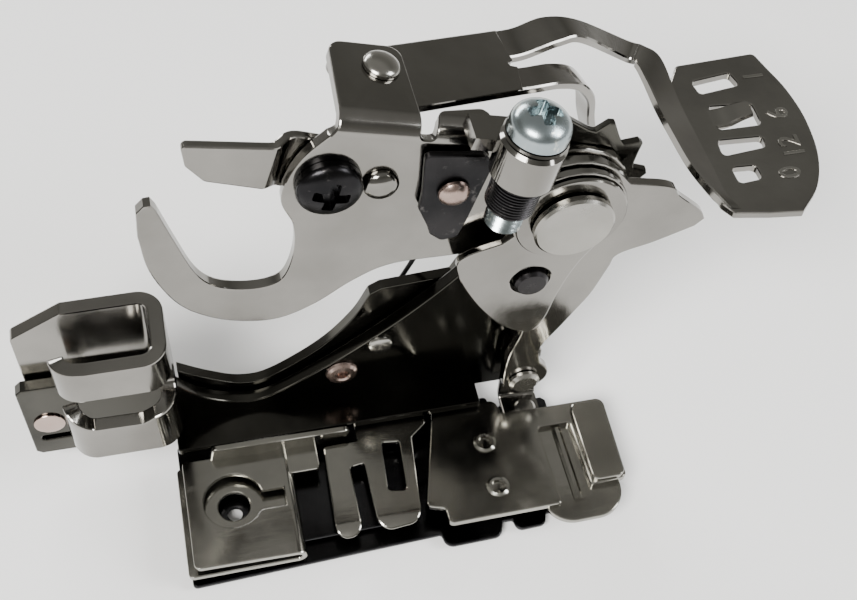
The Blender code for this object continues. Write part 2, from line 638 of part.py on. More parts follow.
def spring_clip(blued, copper, lever):
    """Blued plate in front of the lever, and the rivet that is also the pawl's pivot."""
    outline = rounded([(-13.3, 4.2, 0.5), (-12.2, 0.2), (-11.9, -1.6, 0.3), (-11.1, -2.7, 0.3),
                       (-10.6, -3.4, 0.2), (-10.1, -4.3, 0.2), (-8.9, -5.0, 0.6), (-7.7, -4.4, 0.5),
                       (-7.6, -2.5), (-7.7, 3.7, 0.6), (-8.6, 4.7, 0.6)], 4)
    holes = [circle(-9.9, 0.8, 0.85, 16)]
    add("spring_clip", upright(outline, (5.7, 0.6), holes), blued, lever)
    pin = turned([(0, -3.1), (0.65, -3.1), (0.65, 0)] + [
        (1.25 * math.cos(a), 0.15 + 0.7 * math.sin(a)) for a in
        (math.pi / 2 * k / 5 for k in range(5))] + [(0, 0.85)], 24)
    add("pawl_rivet", facing(pin, -9.9, 5.65, 0.8), copper, lever)


def screw_seat(chrome, blued, zinc, lever, turn):
    """Barrel on the fork lever, the black sleeve under it, and the adjusting screw."""
    lean = Matrix.Rotation(math.radians(SCREW_LEAN), 4, "Y")
    place = Matrix.Translation(SCREW_AXIS) @ lean
    barrel = turned([(0, 0), (2.2, 0), (2.45, 0.25), (2.45, 3.35), (2.2, 3.6), (0, 3.6)], 40)
    barrel.transform(place)
    lug = box((-11.2, 3.9, 6.95), (-6.6, FORK_Y[0] - 0.15, 8.1))
    body = merge(barrel, lug)
    bore = turned([(0, -1), (1.6, -1), (1.6, 5), (0, 5)], 32)
    bore.transform(place)
    add("screw_barrel", boolean(body, bore, "DIFFERENCE"), chrome, lever)
    sleeve = tube([(1.6, -3.1), (1.75, -3.2), (1.9, -3.0), (1.9, -0.3), (1.75, -0.2), (1.6, -0.25)], 32)
    sleeve.transform(place)
    add("screw_sleeve", sleeve, blued, lever)
    washer = tube([(1.6, 3.8), (2.3, 3.8), (2.4, 3.95), (2.3, 4.1), (1.6, 4.1)], 32)
    washer.transform(place)
    add("screw_washer", washer, chrome, lever)
    screw = phillips(2.25, 2.1, SCREW_R, 9.6, cross=0.85)
    screw.transform(Matrix.Translation((0, 0, 4.2)))
    add("adjusting_screw", screw, zinc, turn)


def flange_rivet(copper, lever):
    """Rivet that the number lever turns on."""
    x, y, z = LEVER_RIVET
    pin = rivet(1.45, 0.8, 0.8, 2.35, 1.3, 0.4, dome=0.8)
    pin.transform(Matrix.Translation((x, y, z + 1.3)))
    add("flange_rivet", pin, copper, lever)


# ---- ratchet ------------------------------------------------------------------------------
def ratchet(blued, wheel_axis, pawl_axis):
    """Saw-toothed wheel on the main stud and the pawl that holds it."""
    points = []
    step = 2 * math.pi / WHEEL_TEETH
    tooth = ((WHEEL_R, 0.0), (WHEEL_R - 0.1, 0.12), (6.1, 0.3), (6.2, 0.5), (6.75, 0.8))
    for k in range(WHEEL_TEETH):
        for radius, share in tooth:
            a = step * (k + share)
            points.append(Vector((radius * math.cos(a), radius * math.sin(a))))
    add("ratchet_wheel", upright(points, WHEEL_Y, [circle(0, 0, STUD_HOLE_R, 32)]), blued, wheel_axis)
    outline = rounded([(-1.6, 0.4, 0.5), (-1.2, -1.3, 0.8), (0.4, -1.5, 0.8), (1.5, -0.2, 0.8), (2.3, 2.2, 0.3),
                       (3.1, 3.4, 0.3), (1.4, 3.2, 0.6), (0.2, 1.5, 0.8), (-1.0, 1.5, 0.6)], 4)
    add("drive_pawl", upright(outline, WHEEL_Y, [circle(0, 0, 0.85, 16)]), blued, pawl_axis)


# ---- number lever -------------------------------------------------------------------------
def number_lever(chrome, lever):
    """Stamped lever: base, humped far arm ending in the number plate, and a near finger."""
    turn = Matrix.Rotation(math.radians(LEVER_YAW), 4, "Z")
    world_to_lever = (Matrix.Translation(PIVOT) @ Matrix.Rotation(math.radians(LEVER_TILT), 4, "Y")
                      @ Matrix.Translation(LEVER_RIVET) @ turn).inverted()
    thick = 0.8
    base = rounded([(-2.9, -3.2, 1.2), (11.9, -3.3), (12.9, -0.9), (12.0, -0.5, 0.2), (12.9, -0.1),
                    (13.4, 3.3), (-2.9, 3.3, 1.2)], 4)
    body = sheet(base, thick, [circle(0, 0, 1.0, 20)])
    body.transform(Matrix.Translation((0, 0, -thick)))
    rows = [((12.0, 0.2, 0.0), (12.0, 3.3, 0.0)), ((14.2, 0.2, 0.05), (14.9, 3.3, 0.05)),
            ((17.5, 0.2, 0.95), (17.8, 3.2, 0.95)), ((20.0, 0.1, 1.1), (20.8, 2.2, 1.1))]
    world = [((38.0, 20.2, 32.1), (38.9, 21.8, 32.4)), ((39.0, 19.6, 31.9), (40.2, 21.3, 32.1)),
             ((39.4, 17.6, 31.6), (41.6, 20.2, 31.4)), ((39.7, 14.5, 31.2), (42.1, 16.0, 30.2)),
             ((40.0, 11.5, 31.0), (42.3, 12.0, 30.1)), ((40.4, 8.6, 30.8), (42.5, 8.5, 30.0)),
             ((41.2, 6.2, 30.5), (42.6, 5.6, 30.0)), ((42.2, 4.0, 30.1), (43.2, 3.8, 30.0))]
    rows += [tuple(world_to_lever @ Vector(p) for p in pair) for pair in world]
    arm = strip(rows, thick)
    finger = strip([((11.4, -3.3, 0.0), (11.9, -0.95, 0.0)), ((13.5, -3.3, -0.05), (13.7, -0.95, -0.05)),
                    ((16.0, -3.3, -0.1), (16.2, -0.95, -0.1)), ((18.6, -3.3, -0.8), (18.7, -1.0, -0.8)),
                    ((20.8, -3.3, -2.6), (20.8, -1.1, -2.6)), ((22.4, -3.2, -5.4), (22.4, -1.2, -5.4)),
                    ((24.4, -3.0, -8.4), (24.4, -1.3, -8.4))], thick)
    plate = number_plate()
    plate.transform(world_to_lever)
    body = merge(merge(body, arm), finger)
    return add("number_lever", merge(body, plate), chrome, lever)


def strip(rows, thick):
    """Curved sheet through rows of (near, far) points; its thickness lies underneath."""
    near = smooth([Vector(r[0]) for r in rows], 3)
    far = smooth([Vector(r[1]) for r in rows], 3)
    bm = bmesh.new()
    rings = []
    count = len(near)
    for i in range(count):
        after, before = min(i + 1, count - 1), max(i - 1, 0)
        along = near[after] - near[before] + far[after] - far[before]
        across = far[i] - near[i]
        down = across.cross(along).normalized() * thick
        if down.z > 0:
            down.negate()
        nip = across.normalized() * EDGE
        corners = (near[i] + nip, far[i] - nip, far[i] + down * 0.15, far[i] + down * 0.85,
                   far[i] - nip + down, near[i] + nip + down, near[i] + down * 0.85, near[i] + down * 0.15)
        rings.append([bm.verts.new(c) for c in corners])
    sides = len(rings[0])
    for low, high in zip(rings, rings[1:]):
        for i in range(sides):
            j = (i + 1) % sides
            bm.faces.new((low[i], low[j], high[j], high[i]))
    bm.faces.new(rings[0])
    bm.faces.new(rings[-1])
    bmesh.ops.recalc_face_normals(bm, faces=bm.faces)
    return bm


def number_plate():
    """Level plate with three adjusting notches and a sprung tongue between them."""
    rim = smooth([(48.1, 2.7), (50.3, 5.1), (51.7, 8.4), (52.2, 12.4), (51.9, 16.0), (51.1, 19.0)], 4)
    outline = rounded([(43.2, 20.4, 0.5), (40.8, 16.4), (41.2, 12.0), (41.5, 8.0), (41.8, 4.6, 0.4),
                       (42.5, 3.5, 0.4), (45.4, 3.0)] + [tuple(p) for p in rim] + [(50.6, 20.8, 0.5)], 4)
    notches = [[(43.9, 18.3, 0.4), (44.2, 16.7, 0.4), (48.0, 17.2, 0.4), (47.6, 18.8, 0.4)],
               [(43.8, 11.3, 0.4), (43.7, 9.5, 0.4), (47.6, 9.9, 0.4), (47.8, 11.1, 0.4)],
               [(43.9, 8.2, 0.4), (44.0, 6.4, 0.4), (46.1, 6.6, 0.5), (46.0, 8.1, 0.5)],
               [(44.4, 15.2, 0.3), (44.4, 12.4, 0.3), (48.2, 12.4, 0.4), (48.2, 14.9, 0.4)]]
    bm = flat(outline, (PLATE_Z - 0.8, 0.8), [rounded(n, 3) for n in notches])
    tongue = strip([((44.0, 12.8, PLATE_Z), (44.0, 14.8, PLATE_Z)), ((45.2, 12.8, PLATE_Z + 0.1),
                    (45.2, 14.8, PLATE_Z + 0.1)), ((46.4, 12.9, PLATE_Z + 0.6), (46.4, 14.7, PLATE_Z + 0.6)),
                    ((47.4, 13.0, PLATE_Z + 0.9), (47.4, 14.5, PLATE_Z + 0.9))], 0.6)
    return merge(bm, tongue)


# ---- blade drive --------------------------------------------------------------------------
def blade_arm(chrome, steel, blued, arm):
    """Bell crank, the cam plate riveted over it, and the pin that drives the blade."""
    right = smooth([(5.0, 1.6), (8.6, 0.5), (9.6, -0.8), (11.8, -3.0), (12.4, -4.1)], 3)
    under = smooth([(11.7, -4.9), (8.4, -6.3), (5.5, -7.3), (4.9, -8.9), (3.9, -12.2), (2.8, -14.5),
                    (1.7, -16.7), (0.5, -18.9), (0.2, -20.2), (0.5, -22.0), (1.3, -23.4),
                    (1.3, -24.8), (0.3, -26.0), (-1.2, -26.3), (-2.6, -25.6), (-2.9, -23.6),
                    (-2.7, -20.2), (-1.9, -16.7), (-1.6, -12.0), (-2.4, -8.0), (-4.0, -4.0)], 3)
    boss = [Vector((5.0 * math.cos(a), 5.0 * math.sin(a)))
            for a in (math.radians(d) for d in range(200, 24, -14))]
    holes = [circle(0, 0, STUD_HOLE_R, 32), circle(-0.9, -24.5, 0.95, 16)]
    add("bell_crank", upright(right + under + boss, BELL_Y, holes), chrome, arm)
    left = smooth([(-5.2, -2.6), (-7.7, -3.4), (-8.7, -4.3), (-8.5, -6.0), (-8.0, -7.6), (-6.4, -10.8),
                   (-4.3, -13.8), (-2.4, -15.2), (-1.2, -15.3), (-0.3, -13.5), (0.4, -10.2),
                   (1.6, -6.6), (3.3, -3.6)], 3)
    boss = [Vector((4.7 * math.cos(a), 4.7 * math.sin(a)))
            for a in (math.radians(d) for d in range(-44, 204, 13))]
    holes = [circle(0, 0, STUD_HOLE_R, 32), circle(-2.3, -7.9, 1.7, 24)]
    add("cam_plate", upright(left + boss, ANVIL_Y, holes), chrome, arm)
    pin = turned([(0, -0.75), (1.3, -0.75), (1.45, -0.6), (1.45, 0.3), (1.2, 0.55), (0, 0.6)], 28)
    add("cam_pin", facing(pin, -2.3, ANVIL_Y[0], -7.9), blued, arm)
    link = turned([(0, -2.8), (1.1, -2.8), (1.25, -2.65), (1.25, -2.35), (0.8, -2.35), (0.8, 0),
                   (1.45, 0), (1.45, 0.3), (1.1, 0.55), (0, 0.6)], 24)
    add("link_pin", facing(link, -0.9, BELL_Y[0] - 0.1, -24.5), steel, arm)


def blade(blued, chrome, steel, slide):
    """Toothed ruffling blade, its carrier bracket and the rivet between them."""
    teeth = []
    for k in range(8):
        y = 3.0 - 0.85 * k
        teeth += [(4.4, y), (5.1, y - 0.42)]
    outline = [(16.0, 3.4), (5.4, 3.4), (4.9, 3.3)] + teeth + [(5.0, -4.0), (5.6, -4.2), (15.2, -4.0),
               (16.2, -3.0), (16.6, -0.6), (17.6, -0.1), (30.6, -0.1), (31.0, 0.4), (31.0, 6.2), (30.6, 6.6),
               (26.6, 6.6), (26.2, 6.2), (26.2, 2.6), (25.8, 2.3), (17.0, 2.3)]
    bm = flat([Vector(p) for p in outline], BLADE_Z, [circle(28.6, 5.2, 0.8, 16)])
    add("ruffling_blade", bm, blued, slide)
    window = rounded([(7.35, 27.05, 0.6), (10.35, 27.05, 0.6), (10.35, 28.95, 0.6), (7.35, 28.95, 0.6)], 4)
    bracket = sheet(rounded([(0, 26.4, 0.5), (11.3, 26.4, 0.8), (11.3, 30.0, 0.8), (0, 30.0, 0.5)]), 0.6,
                    [circle(1.3, 28.6, 0.8, 16), window])
    bend(bracket, [2.6, (1.1, 90), 7.0], start=(3.9, 1.3), step=20)
    bracket.transform(Matrix(((0, 1, 0, 0), (1, 0, 0, 0), (0, 0, 1, 0), (0, 0, 0, 1))))
    add("blade_carrier", bracket, chrome, slide)
    pin = turned([(0, -1.15), (0.65, -1.15), (0.65, 0), (1.0, 0), (1.0, 0.15), (0.75, 0.38), (0, 0.42)], 20)
    pin.transform(Matrix.Translation((28.6, 5.2, 1.95)))
    add("carrier_rivet", pin, steel, slide)


# ---- build --------------------------------------------------------------------------------
def main():
    """Clears the scene and builds every piece under its joint axis."""
    for old in list(bpy.data.objects):
        bpy.data.objects.remove(old, do_unlink=True)
    chrome = material("chrome_plate", (0.72, 0.70, 0.66), 0.22)
    steel = material("bright_steel", (0.66, 0.60, 0.55), 0.28)
    copper = material("copper_rivet", (0.62, 0.36, 0.26), 0.35)
    blued = material("blued_steel", (0.05, 0.05, 0.06), 0.35)
    zinc = material("zinc_plate", (0.55, 0.62, 0.62), 0.3)

    root = axis_empty("frame", None, -SEAT)
    fork = axis_empty("fork_lever_axis", root, PIVOT, (0, LEVER_TILT, 0))
    number = axis_empty("number_lever_axis", fork, LEVER_RIVET, (0, 0, LEVER_YAW))
    pawl = axis_empty("drive_pawl_axis", fork, (-9.9, 0, 0.8))
    turn = axis_empty("screw_turn_axis", fork, SCREW_AXIS, (0, SCREW_LEAN, 0))
    wheel = axis_empty("ratchet_wheel_axis", root, PIVOT)
    arm = axis_empty("blade_arm_axis", root, PIVOT)
    slide = axis_empty("blade_slide_axis", root, (0, 0, 0))

    shank_clamp(chrome, root)
    frame_plate(chrome, root)
    rear_plate(chrome, root)
    frame_rivets(copper, steel, root)
    main_stud(steel, chrome, root)
    return_spring(blued, root)
    presser_sole(chrome, root)
    separator_blade(blued, root)
    guide_fingers(chrome, root)
    guide_plate(chrome, root)

    fork_plate(chrome, fork)
    upper_prong(chrome, blued, fork)
    spring_clip(blued, copper, fork)
    screw_seat(chrome, blued, zinc, fork, turn)
    flange_rivet(copper, fork)
    number_lever(chrome, number)
    ratchet(blued, wheel, pawl)
    blade_arm(chrome, steel, blued, arm)
    blade(blued, chrome, steel, slide)


main()
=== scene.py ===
"""Finished look of a sewing-machine ruffler attachment.

Each piece is built again from the design's own dimensions with finer edges, bends and threads,
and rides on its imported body.  Lengths are in millimetres up to add(), which writes metres.
"""

import json
import math

import bmesh
import bpy
from mathutils import Matrix, Vector
from mathutils.geometry import delaunay_2d_cdt


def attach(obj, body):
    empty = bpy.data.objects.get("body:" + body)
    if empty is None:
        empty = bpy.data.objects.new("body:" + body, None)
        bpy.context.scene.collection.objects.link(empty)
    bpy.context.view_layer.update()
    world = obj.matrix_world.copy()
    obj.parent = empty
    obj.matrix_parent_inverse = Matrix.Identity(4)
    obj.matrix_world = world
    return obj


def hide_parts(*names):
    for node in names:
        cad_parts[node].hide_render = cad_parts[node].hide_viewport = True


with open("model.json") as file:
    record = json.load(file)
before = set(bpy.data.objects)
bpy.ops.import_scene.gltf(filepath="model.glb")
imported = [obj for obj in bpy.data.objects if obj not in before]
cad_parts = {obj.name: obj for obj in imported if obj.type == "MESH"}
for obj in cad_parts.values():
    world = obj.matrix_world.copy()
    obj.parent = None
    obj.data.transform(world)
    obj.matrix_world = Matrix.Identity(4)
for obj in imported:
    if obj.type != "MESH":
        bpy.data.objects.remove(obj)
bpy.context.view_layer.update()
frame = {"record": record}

MM = 0.001
GAP = 0.2                       # clearance between neighbouring pieces
EDGE = 0.14                     # rolled edge of stamped sheet

# ---- driving dimensions ----
SEAT = Vector((-4.6, 7.5, 18.6))        # presser-bar seat on the clamp's front wall
PIVOT = Vector((28.9, 0.0, 31.2))       # main stud, which runs along Y
LEVER_TILT = 16.0                       # droop of the fork lever towards the operator, degrees
LEVER_YAW = 18.0                        # swing of the number lever at its "0" notch, degrees
STUD_R = 1.8
STUD_HOLE_R = 2.05

# layers along Y, front face and thickness
WASHER_Y = (4.1, 0.4)
ANVIL_Y = (4.65, 0.7)
BELL_Y = (5.5, 0.9)
FORK_Y = (6.55, 1.0)
WHEEL_Y = (7.7, 0.65)
FRAME_Y = (8.55, 1.2)
REAR_Y = (9.95, 1.0)

# clamp
CLAMP_T = 1.3
CLAMP_NEAR_Y = 4.9                      # inner faces of the channel
CLAMP_FAR_Y = 10.0
CLAMP_FRONT_X = -4.6
CLAMP_R = 0.9                           # inner bend radius
CLAMP_TOP_Z = 20.8
SCREW_SLOT_Z = 14.7                     # centre height of the thumb-screw slot
SCREW_SLOT_H = 4.6

# layers of the foot, underside and thickness
SEPARATOR_Z = (0.0, 0.45)
BLADE_Z = (0.75, 0.4)
SOLE_Z = (1.45, 1.65)                   # folded sheet, both layers
GUIDE_Z = (2.45, 0.7)
FINGER_Z = (2.5, 0.6)
DECK_Z = (3.5, 0.8)

WHEEL_R = 7.3
WHEEL_TEETH = 12
SCREW_R = 1.45
SCREW_AXIS = Vector((-7.7, 2.1, 6.75))  # lower end of the screw barrel, in the fork lever
SCREW_LEAN = -5.5                       # lean of the adjusting screw in the fork lever, degrees
LEVER_RIVET = Vector((-15.9, 12.6, 4.9))    # number lever's pivot, in the fork lever
PLATE_Z = 30.0                          # top of the number plate
STUD = (PIVOT.x, PIVOT.z)
BOSS_R = 3.4                            # boss of both side plates, round the stud

# centres of rivets, pins and their holes: (x, z), or (x, y) in the foot
CLAMP_RIVET = (-14.9, 7.2)
FRONT_RIVET = (11.4, 8.1)
REAR_RIVET = (14.9, 11.7)
PRONG_SCREW = (-19.3, -0.2)             # from here to LINK_PIN, measured from the stud
PRONG_RIVET = (-15.4, 0.3)
PAWL_PIN = (-9.9, 0.8)
CAM_PIN = (-2.3, -7.9)
LINK_PIN = (-0.9, -24.5)
GUIDE_FRONT = (23.7, -3.2)
GUIDE_REAR = (23.6, 1.5)
CARRIER_RIVET = (28.6, 5.2)


# ---- materials ----
def noise(nodes, links, coords, scale, detail, stretch=None, rough=0.55):
    """Noise factor; stretch scales the coordinates first, for brushed grain."""
    if stretch:
        mapping = nodes.new("ShaderNodeMapping")
        mapping.inputs["Scale"].default_value = stretch
        links.new(coords, mapping.inputs["Vector"])
        coords = mapping.outputs["Vector"]
    made = nodes.new("ShaderNodeTexNoise")
    made.inputs["Scale"].default_value = scale
    made.inputs["Detail"].default_value = detail
    made.inputs["Roughness"].default_value = rough
    links.new(coords, made.inputs["Vector"])
    return made.outputs["Fac"]


def ramp(nodes, links, factor, stops):
    """Colour ramp from (position, colour) stops."""
    made = nodes.new("ShaderNodeValToRGB")
    band = made.color_ramp
    while len(band.elements) < len(stops):
        band.elements.new(0.5)
    for element, (position, colour) in zip(band.elements, stops):
        element.position = position
        element.color = (*colour, 1.0)
    links.new(factor, made.inputs["Fac"])
    return made.outputs["Color"]


def spread(nodes, links, factor, low, high):
    """Maps a noise factor to low..high."""
    made = nodes.new("ShaderNodeMapRange")
    made.inputs["From Min"].default_value = 0.3
    made.inputs["From Max"].default_value = 0.7
    made.inputs["To Min"].default_value = low
    made.inputs["To Max"].default_value = high
    links.new(factor, made.inputs["Value"])
    return made.outputs["Result"]


def metal(name, light, dark, rough, bump=0.05, grain=None, wear=None):
    """Plated steel: cloudy colour, patchy polish, fine scratches and a faint surface ripple."""
    made = bpy.data.materials.new(name)
    made.use_nodes = True
    nodes, links = made.node_tree.nodes, made.node_tree.links
    shader = nodes["Principled BSDF"]
    shader.inputs["Metallic"].default_value = 1.0
    coords = nodes.new("ShaderNodeTexCoord").outputs["Object"]
    cloud = noise(nodes, links, coords, 90.0, 5.0)
    colour = ramp(nodes, links, cloud, [(0.35, dark), (0.62, light)])
    if wear:
        specks = noise(nodes, links, coords, 900.0, 6.0, rough=0.7)
        mask = ramp(nodes, links, specks, [(0.60, (0, 0, 0)), (0.68, (1, 1, 1))])
        mixed = nodes.new("ShaderNodeMix")
        mixed.data_type = "RGBA"
        links.new(mask, mixed.inputs[0])
        links.new(colour, mixed.inputs[6])
        mixed.inputs[7].default_value = (*wear, 1.0)
        colour = mixed.outputs[2]
    links.new(colour, shader.inputs["Base Color"])
    polish = noise(nodes, links, coords, 240.0, 6.0)
    links.new(spread(nodes, links, polish, *rough), shader.inputs["Roughness"])
    scratch = noise(nodes, links, coords, 700.0, 5.0, stretch=grain or (1.0, 1.0, 0.25))
    ripple = noise(nodes, links, coords, 60.0, 2.0)
    both = nodes.new("ShaderNodeMath")
    both.operation = "MULTIPLY_ADD"
    links.new(ripple, both.inputs[0])
    both.inputs[1].default_value = 2.5
    links.new(scratch, both.inputs[2])
    lift = nodes.new("ShaderNodeBump")
    lift.inputs["Strength"].default_value = bump
    lift.inputs["Distance"].default_value = 0.0002
    links.new(both.outputs[0], lift.inputs["Height"])
    links.new(lift.outputs["Normal"], shader.inputs["Normal"])
    return made


chrome = metal("chrome_plate", (0.25, 0.242, 0.225), (0.19, 0.183, 0.169), (0.07, 0.17), 0.06)
# Darker copy of the chrome for the side plates and the ratchet: its dark colour is a painted dark
# reflection.
chrome_painted_dark = metal("chrome_painted_dark_reflection", (0.065, 0.063, 0.055), (0.025, 0.024, 0.021), (0.10, 0.22),
                    0.07)
foot_chrome = metal("chrome_foot", (0.36, 0.352, 0.318), (0.26, 0.254, 0.228), (0.10, 0.24), 0.08,
                    grain=(0.15, 1.0, 1.0))
steel = metal("bright_steel", (0.35, 0.34, 0.315), (0.25, 0.243, 0.222), (0.16, 0.30), 0.10)
copper = metal("copper_rivet", (0.46, 0.36, 0.32), (0.32, 0.24, 0.21), (0.16, 0.32), 0.12,
               wear=(0.42, 0.30, 0.26))
black = metal("black_oxide", (0.035, 0.033, 0.034), (0.012, 0.012, 0.013), (0.20, 0.42), 0.12,
              wear=(0.07, 0.066, 0.065))
blade_steel = metal("blued_blade", (0.05, 0.05, 0.052), (0.015, 0.015, 0.017), (0.10, 0.26), 0.06,
                    grain=(0.1, 1.0, 1.0))
zinc = metal("zinc_plate", (0.40, 0.46, 0.465), (0.29, 0.335, 0.35), (0.16, 0.30), 0.08,
             wear=(0.58, 0.60, 0.56))


def place_object(name, data):
    """New object in the scene."""
    made = bpy.data.objects.new(name, data)
    bpy.context.collection.objects.link(made)
    return made


# ---- outlines ----
def rounded(corners, steps=5):
    """Closed outline from (x, y) or (x, y, radius) corners, with an arc at each radius."""
    steps *= 2
    points = []
    count = len(corners)
    for i, corner in enumerate(corners):
        here = Vector(corner[:2])
        radius = corner[2] if len(corner) > 2 else 0.0
        if radius == 0.0:
            points.append(here)
            continue
        back = (Vector(corners[i - 1][:2]) - here).normalized()
        ahead = (Vector(corners[(i + 1) % count][:2]) - here).normalized()
        half = back.angle(ahead) / 2
        centre = here + (back + ahead).normalized() * radius / math.sin(half)
        start = here + back * radius / math.tan(half) - centre
        end = here + ahead * radius / math.tan(half) - centre
        turn = start.angle_signed(end)
        for k in range(steps + 1):
            points.append(centre + Matrix.Rotation(-turn * k / steps, 2) @ start)
    return points


def smooth(knots, steps):
    """Catmull-Rom curve through a few knots."""
    knots = [Vector(k) for k in knots]
    steps *= 3
    count = len(knots)
    points = []
    for i in range(count - 1):
        p1, p2 = knots[i], knots[i + 1]
        p0 = knots[i - 1] if i else p1 * 2 - p2
        p3 = knots[i + 2] if i + 2 < count else p2 * 2 - p1
        for k in range(steps):
            t = k / steps
            points.append(0.5 * (p1 * 2 + (p2 - p0) * t + (p0 * 2 - p1 * 5 + p2 * 4 - p3) * t * t
                                 + (p1 * 3 - p0 - p2 * 3 + p3) * t ** 3))
    points.append(knots[-1])
    return points


def circle(x, y, radius, sides=24):
    """Counter-clockwise ring of points."""
    sides *= 2
    turn = 2 * math.pi / sides
    return [Vector((x + radius * math.cos(turn * k), y + radius * math.sin(turn * k)))
            for k in range(sides)]


def arc(x, y, radius, degrees):
    """Points of a circle at each of the given angles."""
    return [Vector((x + radius * math.cos(a), y + radius * math.sin(a)))
            for a in (math.radians(d) for d in degrees)]


def slot(x0, y0, x1, y1, radius):
    """Rectangle with rounded corners."""
    return rounded([(x0, y0, radius), (x1, y0, radius), (x1, y1, radius), (x0, y1, radius)], 3)


def signed_area(points):
    """Positive when the ring runs counter-clockwise."""
    return sum(a.x * b.y - b.x * a.y for a, b in zip(points, points[1:] + points[:1])) / 2


def inset(points, distance):
    """Moves each point to the left of the ring's direction of travel."""
    moved = []
    count = len(points)
    for i, here in enumerate(points):
        before = (here - points[i - 1]).normalized()
        after = (points[(i + 1) % count] - here).normalized()
        left = Vector((-before.y - after.y, before.x + after.x))
        left.normalize()
        cosine = max(0.35, left.dot(Vector((-before.y, before.x))))
        moved.append(here + left * distance / cosine)
    return moved


# ---- solids ----
def belt(bm, rows):
    """Joins each ring of vertices to the next."""
    for low, high in zip(rows, rows[1:]):
        count = len(low)
        for i in range(count):
            j = (i + 1) % count
            bm.faces.new((low[i], low[j], high[j], high[i]))


def capped(bm, rows):
    """Solid through rings of vertices, closed at both ends."""
    belt(bm, rows)
    bm.faces.new(rows[0])
    bm.faces.new(rows[-1])
    bmesh.ops.recalc_face_normals(bm, faces=bm.faces)
    return bm


def fill(bm, rings):
    """Triangulates the flat area between an outer ring of vertices and its holes."""
    verts = [vert for ring in rings for vert in ring]
    edges = []
    start = 0
    for ring in rings:
        count = len(ring)
        edges += [(start + i, start + (i + 1) % count) for i in range(count)]
        start += count
    spots = [Vector(vert.co[:2]) for vert in verts]
    triangles, origins = delaunay_2d_cdt(spots, edges, [], 0, 1e-9)[2:4]
    if not all(origins):
        return False
    for triangle in triangles:
        corners = [verts[origins[i][0]] for i in triangle]
        middle = sum((Vector(c.co[:2]) for c in corners), Vector((0, 0))) / 3
        crossings = 0
        for i, j in edges:
            p, q = spots[i], spots[j]
            if (p.y > middle.y) != (q.y > middle.y):
                crossings += middle.x < p.x + (q.x - p.x) * (middle.y - p.y) / (q.y - p.y)
        if crossings % 2:
            bm.faces.new(corners)
    return True


def sheet(outline, thickness, holes=(), edge=EDGE):
    """Flat sheet from w = 0 to w = thickness with broken edges, as a bmesh in (u, v, w)."""
    bm = bmesh.new()
    rings = []
    for ring in (outline, *holes):
        ring = [Vector(p) for p in ring]
        outer = not rings
        rings.append(ring if (signed_area(ring) > 0) == outer else ring[::-1])
    caps = ([], [])
    for ring in rings:
        small, middle = inset(ring, edge), inset(ring, edge * 0.3)
        layers = ((small, 0.0), (middle, edge * 0.3), (ring, edge), (ring, thickness - edge),
                  (middle, thickness - edge * 0.3), (small, thickness))
        rows = [[bm.verts.new((p.x, p.y, w)) for p in points] for points, w in layers]
        belt(bm, rows)
        for cap, row in zip(caps, (rows[0], rows[-1])):
            cap.append(row)
    if not all([fill(bm, cap) for cap in caps]):
        bm.free()
        return sheet(outline, thickness, holes, edge * 0.5)
    bmesh.ops.recalc_face_normals(bm, faces=bm.faces)
    return bm


def crease(bm, axis, stations, dist):
    """Cuts a sheet across an axis at each station, so that it can be bent there."""
    for station in stations:
        bmesh.ops.bisect_plane(bm, geom=bm.verts[:] + bm.edges[:] + bm.faces[:], dist=dist,
                               plane_co=Vector(axis) * station, plane_no=axis)
    bmesh.ops.triangulate(bm, faces=[face for face in bm.faces if len(face.verts) > 4])


def bend(bm, path, start=(0.0, 0.0), step=15.0):
    """Bends a flat sheet along u.  path holds lengths, and (radius, degrees) for each bend.

    The w = 0 face follows the path; w grows to the left of it.  Result is in (a, v, b)."""
    legs = []
    stations = []
    at = Vector(start)
    angle = 0.0
    u = 0.0
    for leg in path:
        if isinstance(leg, tuple):
            radius, degrees = leg
            turn = math.radians(degrees)
            length = radius * abs(turn)
            pieces = max(4, round(abs(degrees) / step * 3))
            side = math.copysign(1.0, turn)
            centre = at + Vector((-math.sin(angle), math.cos(angle))) * radius * side
            legs.append((u, length, at.copy(), angle, centre, radius, side))
            stations += [u + length * k / pieces for k in range(pieces + 1)]
            angle += turn
            at = centre + Vector((math.sin(angle), -math.cos(angle))) * radius * side
        else:
            length = leg
            legs.append((u, length, at.copy(), angle, None, 0.0, 0.0))
            at = at + Vector((math.cos(angle), math.sin(angle))) * length
        u += length
    crease(bm, (1, 0, 0), stations, 1e-3)
    for vert in bm.verts:
        along, across, w = vert.co
        leg = legs[0]
        for candidate in legs:
            if along >= candidate[0] - 1e-6:
                leg = candidate
        begin, length, origin, angle, centre, radius, side = leg
        if centre is None:
            direction = Vector((math.cos(angle), math.sin(angle)))
            normal = Vector((-direction.y, direction.x))
            spot = origin + direction * (along - begin) + normal * w
        else:
            angle += side * (along - begin) / radius
            spot = centre + Vector((math.sin(angle), -math.cos(angle))) * side * (radius - side * w)
        vert.co = (spot.x, across, spot.y)
    return bm


def turned(profile, sides):
    """Solid of revolution about Z; profile runs from the axis to the axis as (r, z)."""
    bm = bmesh.new()
    rings = []
    for r, z in profile:
        if r < 1e-6:
            rings.append([bm.verts.new((0, 0, z))])
        else:
            rings.append([bm.verts.new((p.x, p.y, z)) for p in circle(0, 0, r, sides)])
    for low, high in zip(rings, rings[1:]):
        for i in range(sides * 2):
            j = (i + 1) % (sides * 2)
            corners = (low[i % len(low)], low[j % len(low)],
                       high[j % len(high)], high[i % len(high)])
            bm.faces.new(list(dict.fromkeys(corners)))
    bmesh.ops.recalc_face_normals(bm, faces=bm.faces)
    return bm


